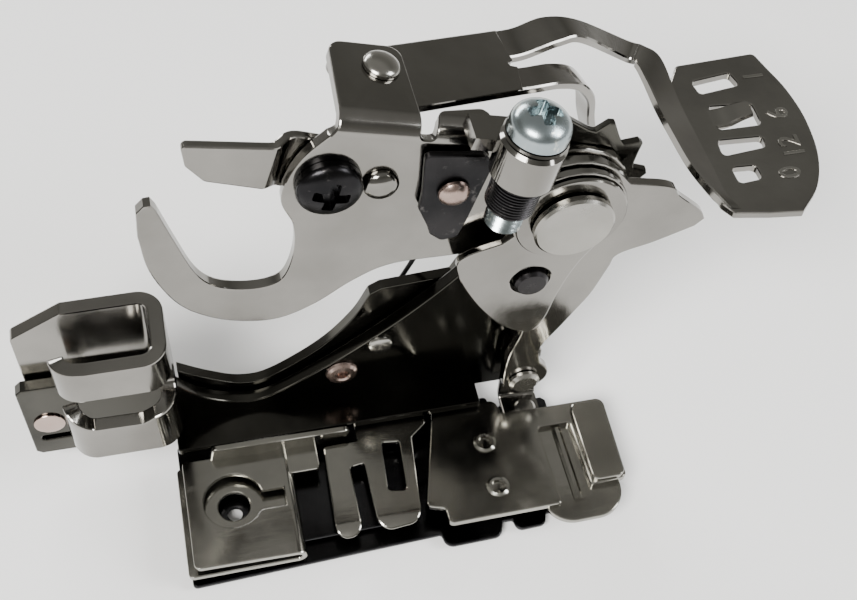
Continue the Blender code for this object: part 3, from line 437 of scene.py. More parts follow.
def tube(profile, sides):
    """Closed ring of revolution about Z; profile is a closed loop of (r, z)."""
    bm = bmesh.new()
    rings = [[bm.verts.new((p.x, p.y, z)) for p in circle(0, 0, r, sides)] for r, z in profile]
    belt(bm, rings + rings[:1])
    bmesh.ops.recalc_face_normals(bm, faces=bm.faces)
    return bm


def shank(radius, length, tail_r, tail_h):
    """Profile of a rivet below its head, from the upset tail up to z = 0."""
    return [(0, -length - tail_h), (tail_r * 0.8, -length - tail_h),
            (tail_r, -length - tail_h * 0.6), (tail_r, -length), (radius, -length), (radius, 0)]


def rivet(head_r, head_h, shank_r, length, tail_r, tail_h, dome=0.6):
    """Rivet along Z: its head ends at +head_h over z = 0, its tail lies below -length."""
    steps = 9
    top = [(head_r * math.cos(a), head_h * ((1 - dome) + dome * math.sin(a)))
           for a in (math.pi / 2 * k / steps for k in range(steps + 1))]
    lower = shank(shank_r, length, tail_r, tail_h)
    return turned(lower + [(head_r, 0)] + top[:-1] + [(0, head_h)], 20)


def tubular(head_r, head_h, shank_r, length, tail_r, tail_h, bore):
    """Rivet with a dimple of radius bore in its head."""
    head = [(head_r, 0), (head_r * 0.96, head_h * 0.45), (head_r * 0.8, head_h * 0.85),
            (bore + 0.22, head_h), (bore, head_h * 0.8), (bore * 0.85, -0.15), (0, -0.25)]
    return turned(shank(shank_r, length, tail_r, tail_h) + head, 24)


def phillips(head_r, head_h, shank_r, length, cross):
    """Pan-head screw along Z with its seat at z = 0 and a recess with arms of width cross."""
    tip, steps = 0.3, 12
    top = [(head_r * (1 - 0.35 * t * t) * math.sqrt(max(0.0, 1 - t ** 4)),
            head_h * (0.25 + 0.75 * t)) for t in (k / steps for k in range(steps))]
    bm = turned([(0, -length), (shank_r - tip, -length), (shank_r, -length + tip), (shank_r, 0),
                 (head_r, 0)] + top + [(0, head_h)], 28)
    cutter = bmesh.new()
    half = cross / 2
    for turn in (0.0, 90.0):
        matrix = Matrix.Rotation(math.radians(turn), 4, "Z")
        arm = sheet(slot(-head_r * 0.55, -half, head_r * 0.55, half, half * 0.4), head_h, edge=0.02)
        arm.transform(matrix @ Matrix.Translation((0, 0, head_h * 0.45)))
        spare = bpy.data.meshes.new("arm")
        arm.to_mesh(spare)
        arm.free()
        cutter.from_mesh(spare)
        bpy.data.meshes.remove(spare)
    return boolean(bm, cutter, "DIFFERENCE", own=True)


def boolean(bm, other, operation, own=False):
    """Exact Boolean of two bmeshes, returned as a new bmesh."""
    objects = []
    for mesh_data in (bm, other):
        mesh = bpy.data.meshes.new("operand")
        mesh_data.to_mesh(mesh)
        mesh_data.free()
        objects.append(place_object("operand", mesh))
    modifier = objects[0].modifiers.new("cut", "BOOLEAN")
    modifier.operation = operation
    modifier.solver = "EXACT"
    modifier.use_self = own
    modifier.object = objects[1]
    bpy.context.view_layer.update()
    result = bmesh.new()
    result.from_mesh(objects[0].evaluated_get(bpy.context.evaluated_depsgraph_get()).to_mesh())
    for made in objects:
        bpy.data.objects.remove(made, do_unlink=True)
    bmesh.ops.remove_doubles(result, verts=result.verts, dist=1e-5)
    bmesh.ops.dissolve_degenerate(result, edges=result.edges, dist=1e-5)
    return result


def box(low, high):
    """Axis-aligned box as a bmesh."""
    low, high = Vector(low), Vector(high)
    bm = bmesh.new()
    bmesh.ops.create_cube(bm, size=1.0)
    bm.transform(Matrix.Translation((low + high) / 2) @ Matrix.Diagonal((*(high - low), 1.0)))
    return bm


def merge(*parts):
    """Union of several overlapping bmeshes."""
    whole = parts[0]
    for part in parts[1:]:
        whole = boolean(whole, part, "UNION")
    return whole


# Axis changes: a sheet's (u, v, w) into the model's directions.
UPRIGHT = Matrix(((1, 0, 0, 0), (0, 0, 1, 0), (0, 1, 0, 0), (0, 0, 0, 1)))     # (u, w, v)
ALONG_Y = Matrix(((1, 0, 0, 0), (0, 0, -1, 0), (0, 1, 0, 0), (0, 0, 0, 1)))    # Z axis to -Y


def upright(outline, layer, holes=()):
    """Sheet standing in the XZ plane, from a (front face, thickness) layer."""
    bm = sheet(outline, layer[1], holes)
    bm.transform(Matrix.Translation((0, layer[0], 0)) @ UPRIGHT)
    return bm


def flat(outline, layer, holes=()):
    """Sheet lying in the XY plane, from an (underside, thickness) layer."""
    bm = sheet(outline, layer[1], holes)
    bm.transform(Matrix.Translation((0, 0, layer[0])))
    return bm


def facing(bm, centre, y):
    """Stands a part made along Z at an (x, z) centre, with its head towards -Y."""
    bm.transform(Matrix.Translation((centre[0], y, centre[1])) @ ALONG_Y)
    return bm


def thread(radius, pitch, start, length):
    """Threaded rod from z = -start down to z = -length, as close rounded ridges."""
    profile = [(0, -length), (radius - 0.45, -length), (radius - 0.28, -length + 0.2)]
    z = -length + 0.25
    while z < -start - pitch:
        profile += [(radius - 0.24, z), (radius - 0.05, z + pitch * 0.38),
                    (radius, z + pitch * 0.5), (radius - 0.05, z + pitch * 0.62)]
        z += pitch
    profile += [(radius - 0.24, z), (radius - 0.24, -start), (0, -start)]
    return turned(profile, 32)


def roll(bm, start, radius):
    """Curls the part of a level sheet below y = start downwards."""
    crease(bm, (0, 1, 0), [start - 0.14 * k for k in range(14)], 1e-4)
    base = min(vert.co.z for vert in bm.verts)
    for vert in bm.verts:
        if vert.co.y < start:
            angle = (start - vert.co.y) / radius
            lift = radius + vert.co.z - base
            vert.co.y = start - lift * math.sin(angle)
            vert.co.z = base - radius + lift * math.cos(angle)
    return bm


# ---- scene ----
BODY_OF = {node: body for body, nodes in frame["record"]["behaviour"]["bodies"].items()
           for node in nodes}


def axis_place(parent, location, rotation=(0.0, 0.0, 0.0)):
    """Matrix of a joint's own axes, from a location in its parent's millimetres."""
    turn = Matrix.Identity(4)
    for angle, axis in zip(rotation, "XYZ"):
        turn = Matrix.Rotation(math.radians(angle), 4, axis) @ turn
    return parent @ Matrix.Translation(Vector(location)) @ turn


def add(name, bm, surface, place, extra=None):
    """Finished piece over the CAD node of the same name, riding on that node's body.

    With extra, the piece replaces nothing and rides on the body of the node called extra."""
    bm.transform(Matrix.Scale(MM, 4) @ place)
    bmesh.ops.recalc_face_normals(bm, faces=bm.faces)
    if bm.calc_volume(signed=True) < 0:
        bmesh.ops.reverse_faces(bm, faces=bm.faces)
    mesh = bpy.data.meshes.new(name + "_piece")
    bm.to_mesh(mesh)
    bm.free()
    mesh.materials.append(surface)
    mesh.shade_smooth()
    mesh.set_sharp_from_angle(angle=math.radians(20))
    made = place_object(name + "_piece", mesh)
    made.modifiers.new("flat faces", "WEIGHTED_NORMAL").keep_sharp = True
    if extra is None:
        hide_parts(name)
    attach(made, BODY_OF[extra or name])


def numerals(ink):
    """Stamped setting numbers on the number plate, read from the operator's side."""
    for text, x, y in (("1", 49.6, 18.0), ("6", 50.1, 13.4), ("12", 49.8, 9.5), ("0", 48.6, 6.8)):
        curve = bpy.data.curves.new("digits", "FONT")
        curve.body = text
        curve.size = 2.6
        curve.align_x = "CENTER"
        curve.align_y = "CENTER"
        curve.extrude = 0.03
        curve.bevel_depth = 0.05
        curve.bevel_resolution = 1
        curve.offset = -0.02
        curve.resolution_u = 4
        shape = place_object("digits", curve)
        bpy.context.view_layer.update()
        bm = bmesh.new()
        bm.from_mesh(shape.to_mesh())
        bpy.data.objects.remove(shape, do_unlink=True)
        turn = Matrix(((0, -1, 0, x), (1, 0, 0, y), (0, 0, 1, PLATE_Z + 0.005), (0, 0, 0, 1)))
        add("setting_" + text, bm, ink, ROOT @ turn, extra="number_lever")


# ---- frame ----
def shank_clamp(chrome, root):
    """Bent channel that hooks round the presser bar; its near wall has the thumb-screw slot."""
    left, end = -16.1, -10.6
    far = CLAMP_FRONT_X - CLAMP_R - left
    front = CLAMP_FAR_Y - CLAMP_NEAR_Y - 2 * CLAMP_R
    near = CLAMP_FRONT_X - CLAMP_R - end
    quarter = CLAMP_R * math.pi / 2
    path = [far, (CLAMP_R, -90), front, (CLAMP_R, -90), near, (CLAMP_R, -80), 0.5]
    total = far + quarter + front + quarter + near + CLAMP_R * math.radians(80) + 0.5
    relief = far + quarter + CLAMP_FAR_Y - CLAMP_R - FRAME_Y[0] + GAP + 0.2
    slot_end = far + quarter + front - 0.5
    belly = slot_end + quarter + 2.6
    foot, low = 2.4, 8.0
    floor = SCREW_SLOT_Z - SCREW_SLOT_H / 2
    roof = SCREW_SLOT_Z + SCREW_SLOT_H / 2
    outline = rounded([
        (0, foot, 0.5), (far - 0.2, foot, 0.5), (far - 0.2, 12.9), (relief, 12.9, 0.4),
        (relief, low, 0.6), (total, low, 1.6), (total, floor + 2.4, 0.5),
        (belly + 2.9, floor + 0.1, 0.8), (belly - 1.2, floor, 1.2), (slot_end, floor + 1.9, 0.6),
        (slot_end, roof, 0.6), (total, roof, 0.5), (total, CLAMP_TOP_Z + 0.5, 1.0),
        (total - 2.4, CLAMP_TOP_Z, 1.0), (4.5, CLAMP_TOP_Z, 0.5), (0, 18.2, 0.6)])
    holes = [circle(CLAMP_RIVET[0] - left, CLAMP_RIVET[1], 0.88, 16)]
    bm = bend(sheet(outline, CLAMP_T, holes), path, start=(left, CLAMP_FAR_Y), step=18)
    bm.transform(UPRIGHT)
    add("shank_clamp", bm, chrome, root)


def frame_plate(dark, root):
    """Side plate with the deck merged on at its foot, reaching forward, and the boss round the main
    stud.
    """
    foot = 2.2
    top = smooth([
        (-4.9, 12.4), (-3.4, 9.8), (-1.2, 7.3), (1.6, 5.8), (4.7, 5.9), (10.4, 9.6), (16.7, 14.9),
        (21.8, 20.3), (24.4, 24.5)], 4)
    outline = [(-16.9, foot + 0.5), (-16.4, foot), (28.9, foot), (30.0, 9.0), (32.0, 18.0)]
    outline += arc(*STUD, BOSS_R, range(-30, 181, 15)) + top[::-1] + [(-16.4, 12.6), (-16.9, 12.1)]
    holes = [circle(*STUD, STUD_HOLE_R), circle(*CLAMP_RIVET, 0.95, 16),
             circle(*FRONT_RIVET, 0.95, 16), circle(*REAR_RIVET, 0.8, 16),
             circle(26.4, 23.4, 0.95, 16), slot(-16.0, 4.3, -12.9, 5.1, 0.38)]
    side = upright(outline, FRAME_Y, holes)
    deck = flat(slot(-4.2, 5.2, 24.0, FRAME_Y[0] + 0.6, 0.3), DECK_Z)
    # dark is the darkened chrome, whose colour is a painted dark reflection.
    add("frame_plate", merge(side, deck), dark, root)


def rear_plate(dark, root):
    """Second side plate, which doubles the frame behind the mechanism."""
    top = smooth([(-3.2, 10.2), (-0.6, 8.2), (2.2, 6.7), (5.0, 7.0), (9.6, 10.3), (12.6, 14.0),
                  (14.2, 17.4)], 4)
    outline = [(-3.2, 3.0), (28.4, 3.0), (30.4, 10.0), (32.2, 19.0)]
    outline += arc(*STUD, BOSS_R, range(-30, 181, 15))
    outline += [(24.6, 25.4), (21.4, 18.4), (15.2, 18.0)] + top[::-1]
    holes = [circle(*STUD, STUD_HOLE_R), circle(*FRONT_RIVET, 0.95, 16),
             circle(*REAR_RIVET, 0.8, 16)]
    # dark is the darkened chrome, whose colour is a painted dark reflection.
    add("rear_plate", upright(outline, REAR_Y, holes), dark, root)


def frame_rivets(copper, steel, root):
    """Rivets that join the clamp and the two side plates."""
    depth = REAR_Y[0] + REAR_Y[1] - FRAME_Y[0] + GAP
    lower = tubular(1.5, 0.5, 0.75, depth, 1.3, 0.4, 0.55)
    add("frame_rivet_front", facing(lower, FRONT_RIVET, FRAME_Y[0] - 0.05), copper, root)
    upper = rivet(1.1, 0.45, 0.6, depth, 1.0, 0.4)
    add("frame_rivet_rear", facing(upper, REAR_RIVET, FRAME_Y[0] - 0.05), steel, root)
    depth = CLAMP_FAR_Y + CLAMP_T - FRAME_Y[0] + GAP
    clamp = rivet(1.35, 0.3, 0.75, depth, 1.3, 0.4)
    add("clamp_rivet", facing(clamp, CLAMP_RIVET, FRAME_Y[0] - 0.05), copper, root)


def main_stud(steel, chrome, root):
    """Flat-headed stud that every lever turns on, and the washer under its head."""
    profile = [
        (0, -13.1), (2.2, -13.1), (2.6, -12.8), (2.6, -12.4), (STUD_R, -12.4), (STUD_R, -3.9),
        (3.1, -3.9), (3.25, -3.75), (3.25, -3.3), (3.05, -3.1), (2.75, -3.1), (2.4, -3.22),
        (0, -3.3)]
    add("main_stud", facing(turned(profile, 36), STUD, 0), steel, root)
    front, thick = WASHER_Y
    ring = tube([(STUD_HOLE_R, 0), (4.3, 0), (4.5, 0.12), (4.5, thick - 0.1), (4.4, thick),
                 (STUD_HOLE_R, thick)], 36)
    add("stud_washer", facing(ring, STUD, front + thick), chrome, root)


def return_spring(steel, root):
    """Torsion spring coiled on the stud behind the rear plate, with one leg down the plate."""
    radius, wire, turns, steps = 2.35, 0.22, 1.75, 48
    knots = []
    for k in range(int(turns * steps) + 1):
        a = math.radians(-110) + 2 * math.pi * k / steps
        y = 11.35 + 0.72 * k / (turns * steps)
        knots.append(Vector((PIVOT.x + radius * math.cos(a), y, PIVOT.z + radius * math.sin(a))))
    last, before = knots[-1], knots[-2]
    run = (last - before).normalized()
    knots += [last + run * 3.0, Vector((19.5, 11.9, 21.5)), Vector((17.0, 11.7, 16.0))]
    add("return_spring", wire_solid(knots, wire, 14), steel, root)


def wire_solid(knots, radius, sides):
    """Round wire along a line of points, with flat ends."""
    bm = bmesh.new()
    rows = []
    side = Vector((0, 1, 0))
    for i, here in enumerate(knots):
        ahead = knots[min(i + 1, len(knots) - 1)] - knots[max(i - 1, 0)]
        ahead.normalize()
        side = (side - ahead * side.dot(ahead)).normalized()
        other = ahead.cross(side)
        rows.append([bm.verts.new(here + (side * math.cos(a) + other * math.sin(a)) * radius)
                     for a in (2 * math.pi * k / sides for k in range(sides))])
    return capped(bm, rows)


# ---- foot ----
def presser_sole(foot, root):
    """Sole folded back over itself, with a keyhole over the needle hole, a flange and a tab."""
    width, radius, layer = 9.6, 0.825, 0.5
    end = width + radius * math.pi + width
    lower = circle(4.7, 0, 1.4, 24)
    ring, near, far, mouth = 2.65, -1.3, 0.5, 4.6
    first, last = (math.degrees(math.asin(y / ring)) for y in (far, near))
    upper = [(ring * math.cos(a), ring * math.sin(a)) for a in
             (math.radians(first + (360 + last - first) * k / 24) for k in range(25))]
    upper = [Vector((end - 4.7 - x, y)) for x, y in upper + [(mouth, near), (mouth, far)]]
    tip = end - 0.6
    outline = rounded([(0, -6.3, 0.5), (tip, -6.1, 0.6), (tip, 4.7, 0.4), (0, 4.7, 0.4)])
    bm = bend(sheet(outline, layer, [lower, upper]),
              [width, (radius, 180), width], start=(-4.7, SOLE_Z[0]), step=20)
    rim = rounded([(-1.6, 2.7), (10.8, 2.7, 0.3), (11.6, 4.6, 0.5), (-1.2, 4.8, 0.5)])
    flange = sheet(rim, 0.6)
    flange.transform(Matrix.Translation((0, 4.35, 0)) @ UPRIGHT)
    tab = flat(rounded([(5.2, 1.8, 0.2), (8.2, 1.8, 0.4), (8.2, 4.7), (5.2, 4.7)]), (2.6, 0.5))
    add("presser_sole", merge(bm, flange, tab), foot, root)


def separator_blade(blued, root):
    """Thin plate under the foot that keeps the two cloths apart."""
    outline = rounded([
        (-4.5, -6.5, 0.4), (18.0, -5.6, 0.2), (18.3, -6.9, 0.9), (23.4, -6.8, 0.9),
        (23.9, -5.4, 0.2), (24.8, -5.4, 0.2), (25.0, -6.5, 0.7), (27.7, -6.4, 0.7),
        (28.0, -5.3, 0.3), (34.6, -5.0, 0.9), (34.6, 4.6, 0.9), (26.0, 4.6, 0.3), (25.5, 8.0, 0.4),
        (-4.5, 8.0, 0.4)], 3)
    holes = [circle(0, 0, 0.65, 20)]
    add("separator_blade", flat(outline, SEPARATOR_Z, holes), blued, root)


def guide_fingers(foot, root):
    """Folded guide between sole and guide plate: two tongues hanging from a rear band."""
    outline = rounded([
        (12.0, 7.2, 0.4), (12.0, 4.0, 0.2), (8.8, 3.9, 0.3), (8.5, -5.3, 1.05), (10.9, -5.1, 1.05),
        (10.9, 1.4, 0.4), (12.2, 1.6, 0.3), (12.3, -5.2, 1.3), (16.3, -4.9, 1.3), (17.1, 3.4, 0.3),
        (18.6, 4.6, 0.3), (19.0, 7.2, 0.5), (18.0, 7.6, 0.4), (17.6, 7.2, 0.3)], 4)
    window = rounded([(14.2, 3.4, 0.3), (13.9, -1.6, 0.4), (15.5, -1.9, 0.4), (15.8, 3.2, 0.3)], 4)
    add("guide_fingers", roll(flat(outline, FINGER_Z, [window]), -3.9, 2.2), foot, root)


def guide_plate(foot, root):
    """Guide at the operator's end of the foot: upper sheet, raised band, rounded nose and rib."""
    outline = rounded([
        (19.5, 5.9, 0.6), (16.9, -3.9, 0.5), (18.5, -4.4, 0.4), (18.6, -6.0, 0.5),
        (29.1, -5.9, 0.4), (28.9, 2.2, 0.3), (32.0, 2.2, 0.3), (32.2, -4.6, 0.3),
        (35.7, -4.4, 0.6), (35.9, 4.3, 0.8), (26.0, 4.3, 0.5), (25.6, 5.9, 0.8)], 4)
    holes = [circle(*GUIDE_REAR, 0.8, 16), circle(*GUIDE_FRONT, 0.8, 16)]
    bm = flat(outline, GUIDE_Z, holes)
    band = flat(slot(32.4, -4.4, 35.5, 3.9, 0.7), (GUIDE_Z[0] + 0.3, 0.9))
    nose = flat(rounded([
        (27.4, 3.0, 0.3), (27.6, -7.6, 2.6), (35.0, -7.5, 2.8), (35.2, 3.0, 0.3)], 6),
        (GUIDE_Z[0] - 0.5, 0.6))
    rib = wire_solid([Vector((30.7, 2.0, GUIDE_Z[0])), Vector((30.8, -5.6, GUIDE_Z[0]))], 0.5, 10)
    add("guide_plate", merge(bm, band, nose, rib), foot, root)
    for name, spot in (("guide_rivet_front", GUIDE_FRONT), ("guide_rivet_rear", GUIDE_REAR)):
        pin = tubular(1.1, 0.22, 0.65, GUIDE_Z[1] + 0.15, 0.95, 0.25, 0.6)
        pin.transform(Matrix.Translation((*spot, GUIDE_Z[0] + GUIDE_Z[1] + 0.05)))
        add(name, pin, foot, root)


# ---- fork lever ----
def fork_plate(chrome, lever):
    """Lever with the hook for the needle clamp; its rear flange carries the number lever."""
    base = 20.0
    hook = smooth([
        (-20.0, 5.4), (-22.0, 1.8), (-22.4, -2.2), (-20.8, -5.0), (-20.0, -8.0), (-20.0, -11.0),
        (-20.9, -12.3), (-23.0, -12.9), (-25.3, -12.6), (-27.1, -11.1), (-29.2, -7.7),
        (-31.2, -4.2)], 3)
    tip = [Vector(p) for p in ((-31.7, -3.6), (-32.2, -3.8), (-32.6, -4.6))]
    outer = smooth([
        (-32.1, -7.2), (-30.6, -11.2), (-28.0, -14.8), (-25.3, -16.5), (-22.2, -17.1),
        (-19.2, -16.6), (-16.6, -14.5), (-14.1, -11.2), (-11.6, -9.1), (-7.2, -7.8),
        (-2.5, -6.6)], 3)
    boss = arc(0, 0, 5.3, range(-90, 136, 15))
    top = rounded([
        (-3.7, 3.7), (-8.0, 4.6, 0.8), (-8.1, 8.2, 0.8), (-12.3, 7.4, 0.8), (-12.6, 4.9, 0.5),
        (-13.7, 4.9, 0.4), (-13.9, 14.0, 1.2), (-19.6, 14.0, 1.2), (-20.0, 5.4)], 4)[1:-1]
    outline = hook + tip + outer + boss + top
    swapped = [Vector((p.y + base, p.x)) for p in outline]
    holes = [[Vector((q.y + base, q.x)) for q in ring]
             for ring in (circle(0, 0, STUD_HOLE_R, 32), circle(*PRONG_SCREW, 1.3, 20),
                          circle(*PRONG_RIVET, 0.95, 16), circle(*PAWL_PIN, 0.85, 16),
                          circle(-15.9, 11.47, 1.0, 20))]
    bm = bend(sheet(swapped, FORK_Y[1], holes), [24.45, (1.7, 90), 7.1])
    bm.transform(Matrix(((0, 1, 0, 0), (0, 0, 1, FORK_Y[0]), (1, 0, 0, -base), (0, 0, 0, 1))))
    add("fork_plate", bm, chrome, lever)


def upper_prong(chrome, blued, lever):
    """Upper half of the fork, joggled behind the lever plate, with its screw and rivet."""
    outline = rounded([
        (-30.7, 2.6, 0.4), (-30.0, 0.6, 0.3), (-28.4, -0.8, 0.8), (-23.6, -1.3, 0.8),
        (-21.0, -2.6, 1.2), (-13.9, -1.6, 1.2), (-14.0, 2.4, 1.0), (-22.2, 3.3, 2.0),
        (-24.5, 3.0, 2.0)], 4)
    holes = [circle(*PRONG_SCREW, 1.3, 20), circle(*PRONG_RIVET, 0.95, 16)]
    moved = [[Vector((p.x + 31 + (0.4 if p.x > -22.5 else 0.0), p.y)) for p in ring]
             for ring in [outline] + holes]
    angle, radius = 46.0, 0.9
    bm = bend(sheet(moved[0], 0.7, moved[1:]), [6.8, (radius, angle), 0.8, (radius, -angle), 14.0],
              start=(-31, FORK_Y[0]))
    bm.transform(UPRIGHT)
    add("upper_prong", bm, chrome, lever)
    screw = phillips(2.55, 1.5, 1.1, 2.5, cross=0.9)
    add("prong_screw", facing(screw, PRONG_SCREW, FORK_Y[0] - 0.05), blued, lever)
    pin = rivet(1.4, 0.9, 0.75, 2.0, 1.25, 0.4, dome=0.85)
    add("prong_rivet", facing(pin, PRONG_RIVET, FORK_Y[0] - 0.05), chrome, lever)


def spring_clip(blued, copper, lever):
    """Blued plate in front of the lever, and the rivet that is also the pawl's pivot."""
    outline = rounded([
        (-13.3, 4.2, 0.5), (-12.2, 0.2), (-11.9, -1.6, 0.3), (-11.1, -2.7, 0.3),
        (-10.6, -3.4, 0.2), (-10.1, -4.3, 0.2), (-8.9, -5.0, 0.6), (-7.7, -4.4, 0.5), (-7.6, -2.5),
        (-7.7, 3.7, 0.6), (-8.6, 4.7, 0.6)], 4)
    holes = [circle(*PAWL_PIN, 0.85, 16)]
    add("spring_clip", upright(outline, (5.7, 0.6), holes), blued, lever)
    pin = turned([(0, -3.1), (0.65, -3.1), (0.65, 0)] + [
        (1.25 * math.cos(a), 0.15 + 0.7 * math.sin(a)) for a in
        (math.pi / 2 * k / 5 for k in range(5))] + [(0, 0.85)], 24)
    add("pawl_rivet", facing(pin, PAWL_PIN, 5.65), copper, lever)


def screw_seat(chrome, blued, zinc, lever, turn):
    """Barrel on the fork lever, the black sleeve under it, and the adjusting screw."""
    lean = Matrix.Rotation(math.radians(SCREW_LEAN), 4, "Y")
    place = Matrix.Translation(SCREW_AXIS) @ lean
    barrel = turned([(0, 0), (2.2, 0), (2.45, 0.25), (2.45, 3.35), (2.2, 3.6), (0, 3.6)], 40)
    barrel.transform(place)
    lug = box((-11.2, 3.9, 6.95), (-6.6, FORK_Y[0] - 0.15, 8.1))
    body = merge(barrel, lug)
    bore = turned([(0, -1), (1.6, -1), (1.6, 5), (0, 5)], 32)
    bore.transform(place)
    add("screw_barrel", boolean(body, bore, "DIFFERENCE"), chrome, lever)
    ridges = []
    for k in range(10):
        z = -3.0 + 0.28 * k
        ridges += [(1.78, z), (1.9, z + 0.07), (1.9, z + 0.16), (1.78, z + 0.23)]
    sleeve = tube([(1.6, -3.1), (1.7, -3.2)] + ridges + [(1.7, -0.2), (1.6, -0.25)], 32)
    sleeve.transform(place)
    add("screw_sleeve", sleeve, blued, lever)
    washer = tube([(1.6, 3.8), (2.3, 3.8), (2.4, 3.95), (2.3, 4.1), (1.6, 4.1)], 32)
    washer.transform(place)
    add("screw_washer", washer, chrome, lever)
    head = phillips(2.25, 2.1, SCREW_R - 0.3, 4.0, cross=0.85)
    screw = merge(head, thread(SCREW_R, 0.5, 3.8, 9.6))
    screw.transform(Matrix.Translation((0, 0, 4.2)))
    add("adjusting_screw", screw, zinc, turn)


def flange_rivet(copper, lever):
    """Rivet that the number lever turns on."""
    x, y, z = LEVER_RIVET
    pin = rivet(1.45, 0.8, 0.8, 2.35, 1.3, 0.4, dome=0.8)
    pin.transform(Matrix.Translation((x, y, z + 1.3)))
    add("flange_rivet", pin, copper, lever)


# ---- ratchet ----
def ratchet(blued, wheel_axis, pawl_axis):
    """Saw-toothed wheel on the main stud and the pawl that holds it."""
    points = []
    step = 2 * math.pi / WHEEL_TEETH
    tooth = ((WHEEL_R, 0.0), (WHEEL_R - 0.1, 0.12), (6.1, 0.3), (6.2, 0.5), (6.75, 0.8))
    for k in range(WHEEL_TEETH):
        for radius, share in tooth:
            a = step * (k + share)
            points.append(Vector((radius * math.cos(a), radius * math.sin(a))))
    wheel = upright(points, WHEEL_Y, [circle(0, 0, STUD_HOLE_R, 32)])
    # blued here is the darkened chrome, whose colour is a painted dark reflection.
    add("ratchet_wheel", wheel, blued, wheel_axis)
    outline = rounded([
        (-1.6, 0.4, 0.5), (-1.2, -1.3, 0.8), (0.4, -1.5, 0.8), (1.5, -0.2, 0.8), (2.3, 2.2, 0.3),
        (3.1, 3.4, 0.3), (1.4, 3.2, 0.6), (0.2, 1.5, 0.8), (-1.0, 1.5, 0.6)], 4)
    add("drive_pawl", upright(outline, WHEEL_Y, [circle(0, 0, 0.85, 16)]), blued, pawl_axis)


# ---- number lever ----
def number_lever(chrome, steel, lever):
    """Stamped lever: base, humped far arm ending in the number plate, and a near finger."""
    turn = Matrix.Rotation(math.radians(LEVER_YAW), 4, "Z")
    world_to_lever = (Matrix.Translation(PIVOT) @ Matrix.Rotation(math.radians(LEVER_TILT), 4, "Y")
                      @ Matrix.Translation(LEVER_RIVET) @ turn).inverted()
    thick = 0.8
    base = rounded([
        (-2.9, -3.2, 1.2), (11.9, -3.3), (12.9, -0.9), (12.0, -0.5, 0.2), (12.9, -0.1),
        (13.4, 3.3), (-2.9, 3.3, 1.2)], 4)
    body = sheet(base, thick, [circle(0, 0, 1.0, 20)])
    body.transform(Matrix.Translation((0, 0, -thick)))
    rows = [((12.0, 0.2, 0.0), (12.0, 3.3, 0.0)), ((14.2, 0.2, 0.05), (14.9, 3.3, 0.05)),
            ((17.5, 0.2, 0.95), (17.8, 3.2, 0.95)), ((20.0, 0.1, 1.1), (20.8, 2.2, 1.1))]
    world = [
        ((38.0, 20.2, 32.1), (38.9, 21.8, 32.4)), ((39.0, 19.6, 31.9), (40.2, 21.3, 32.1)),
        ((39.4, 17.6, 31.6), (41.6, 20.2, 31.4)), ((39.7, 14.5, 31.2), (42.1, 16.0, 30.2)),
        ((40.0, 11.5, 31.0), (42.3, 12.0, 30.1)), ((40.4, 8.6, 30.8), (42.5, 8.5, 30.0)),
        ((41.2, 6.2, 30.5), (42.6, 5.6, 30.0)), ((42.2, 4.0, 30.1), (43.2, 3.8, 30.0))]
    rows += [tuple(world_to_lever @ Vector(p) for p in pair) for pair in world]
    arm = strip(rows, thick)
    finger = strip([
        ((11.4, -3.3, 0.0), (11.9, -0.95, 0.0)), ((13.5, -3.3, -0.05), (13.7, -0.95, -0.05)),
        ((16.0, -3.3, -0.1), (16.2, -0.95, -0.1)), ((18.6, -3.3, -0.8), (18.7, -1.0, -0.8)),
        ((20.8, -3.3, -2.6), (20.8, -1.1, -2.6)), ((22.4, -3.2, -5.4), (22.4, -1.2, -5.4)),
        ((24.4, -3.0, -8.4), (24.4, -1.3, -8.4))], thick)
    plate = number_plate()
    plate.transform(world_to_lever)
    add("number_lever", merge(body, arm, finger, plate), chrome, lever)
    numerals(steel)


def strip(rows, thick):
    """Curved sheet through rows of (near, far) points; its thickness lies underneath."""
    near = smooth([row[0] for row in rows], 3)
    far = smooth([row[1] for row in rows], 3)
    bm = bmesh.new()
    rings = []
    count = len(near)
    for i in range(count):
        after, before = min(i + 1, count - 1), max(i - 1, 0)
        along = near[after] - near[before] + far[after] - far[before]
        across = far[i] - near[i]
        down = across.cross(along).normalized() * thick
        if down.z > 0:
            down.negate()
        nip = across.normalized() * EDGE
        corners = (near[i] + nip, far[i] - nip, far[i] + down * 0.15, far[i] + down * 0.85,
                   far[i] - nip + down, near[i] + nip + down, near[i] + down * 0.85,
                   near[i] + down * 0.15)
        rings.append([bm.verts.new(c) for c in corners])
    return capped(bm, rings)


def number_plate():
    """Level plate with three adjusting notches and a sprung tongue between them."""
    rim = smooth([
        (48.1, 2.7), (50.3, 5.1), (51.7, 8.4), (52.2, 12.4), (51.9, 16.0), (51.1, 19.0)], 4)
    outline = rounded([
        (43.2, 20.4, 0.5), (40.8, 16.4), (41.2, 12.0), (41.5, 8.0), (41.8, 4.6, 0.4),
        (42.5, 3.5, 0.4), (45.4, 3.0)] + rim + [(50.6, 20.8, 0.5)], 4)
    notches = [[(43.9, 18.3, 0.4), (44.2, 16.7, 0.4), (48.0, 17.2, 0.4), (47.6, 18.8, 0.4)],
               [(43.8, 11.3, 0.4), (43.7, 9.5, 0.4), (47.6, 9.9, 0.4), (47.8, 11.1, 0.4)],
               [(43.9, 8.2, 0.4), (44.0, 6.4, 0.4), (46.1, 6.6, 0.5), (46.0, 8.1, 0.5)],
               [(44.4, 15.2, 0.3), (44.4, 12.4, 0.3), (48.2, 12.4, 0.4), (48.2, 14.9, 0.4)]]
    bm = flat(outline, (PLATE_Z - 0.8, 0.8), [rounded(n, 3) for n in notches])
    rows = [(44.0, 12.8, 14.8, PLATE_Z), (45.2, 12.8, 14.8, PLATE_Z + 0.1),
            (46.4, 12.9, 14.7, PLATE_Z + 0.6), (47.4, 13.0, 14.5, PLATE_Z + 0.9)]
    tongue = strip([((x, near, z), (x, far, z)) for x, near, far, z in rows], 0.6)
    return merge(bm, tongue)


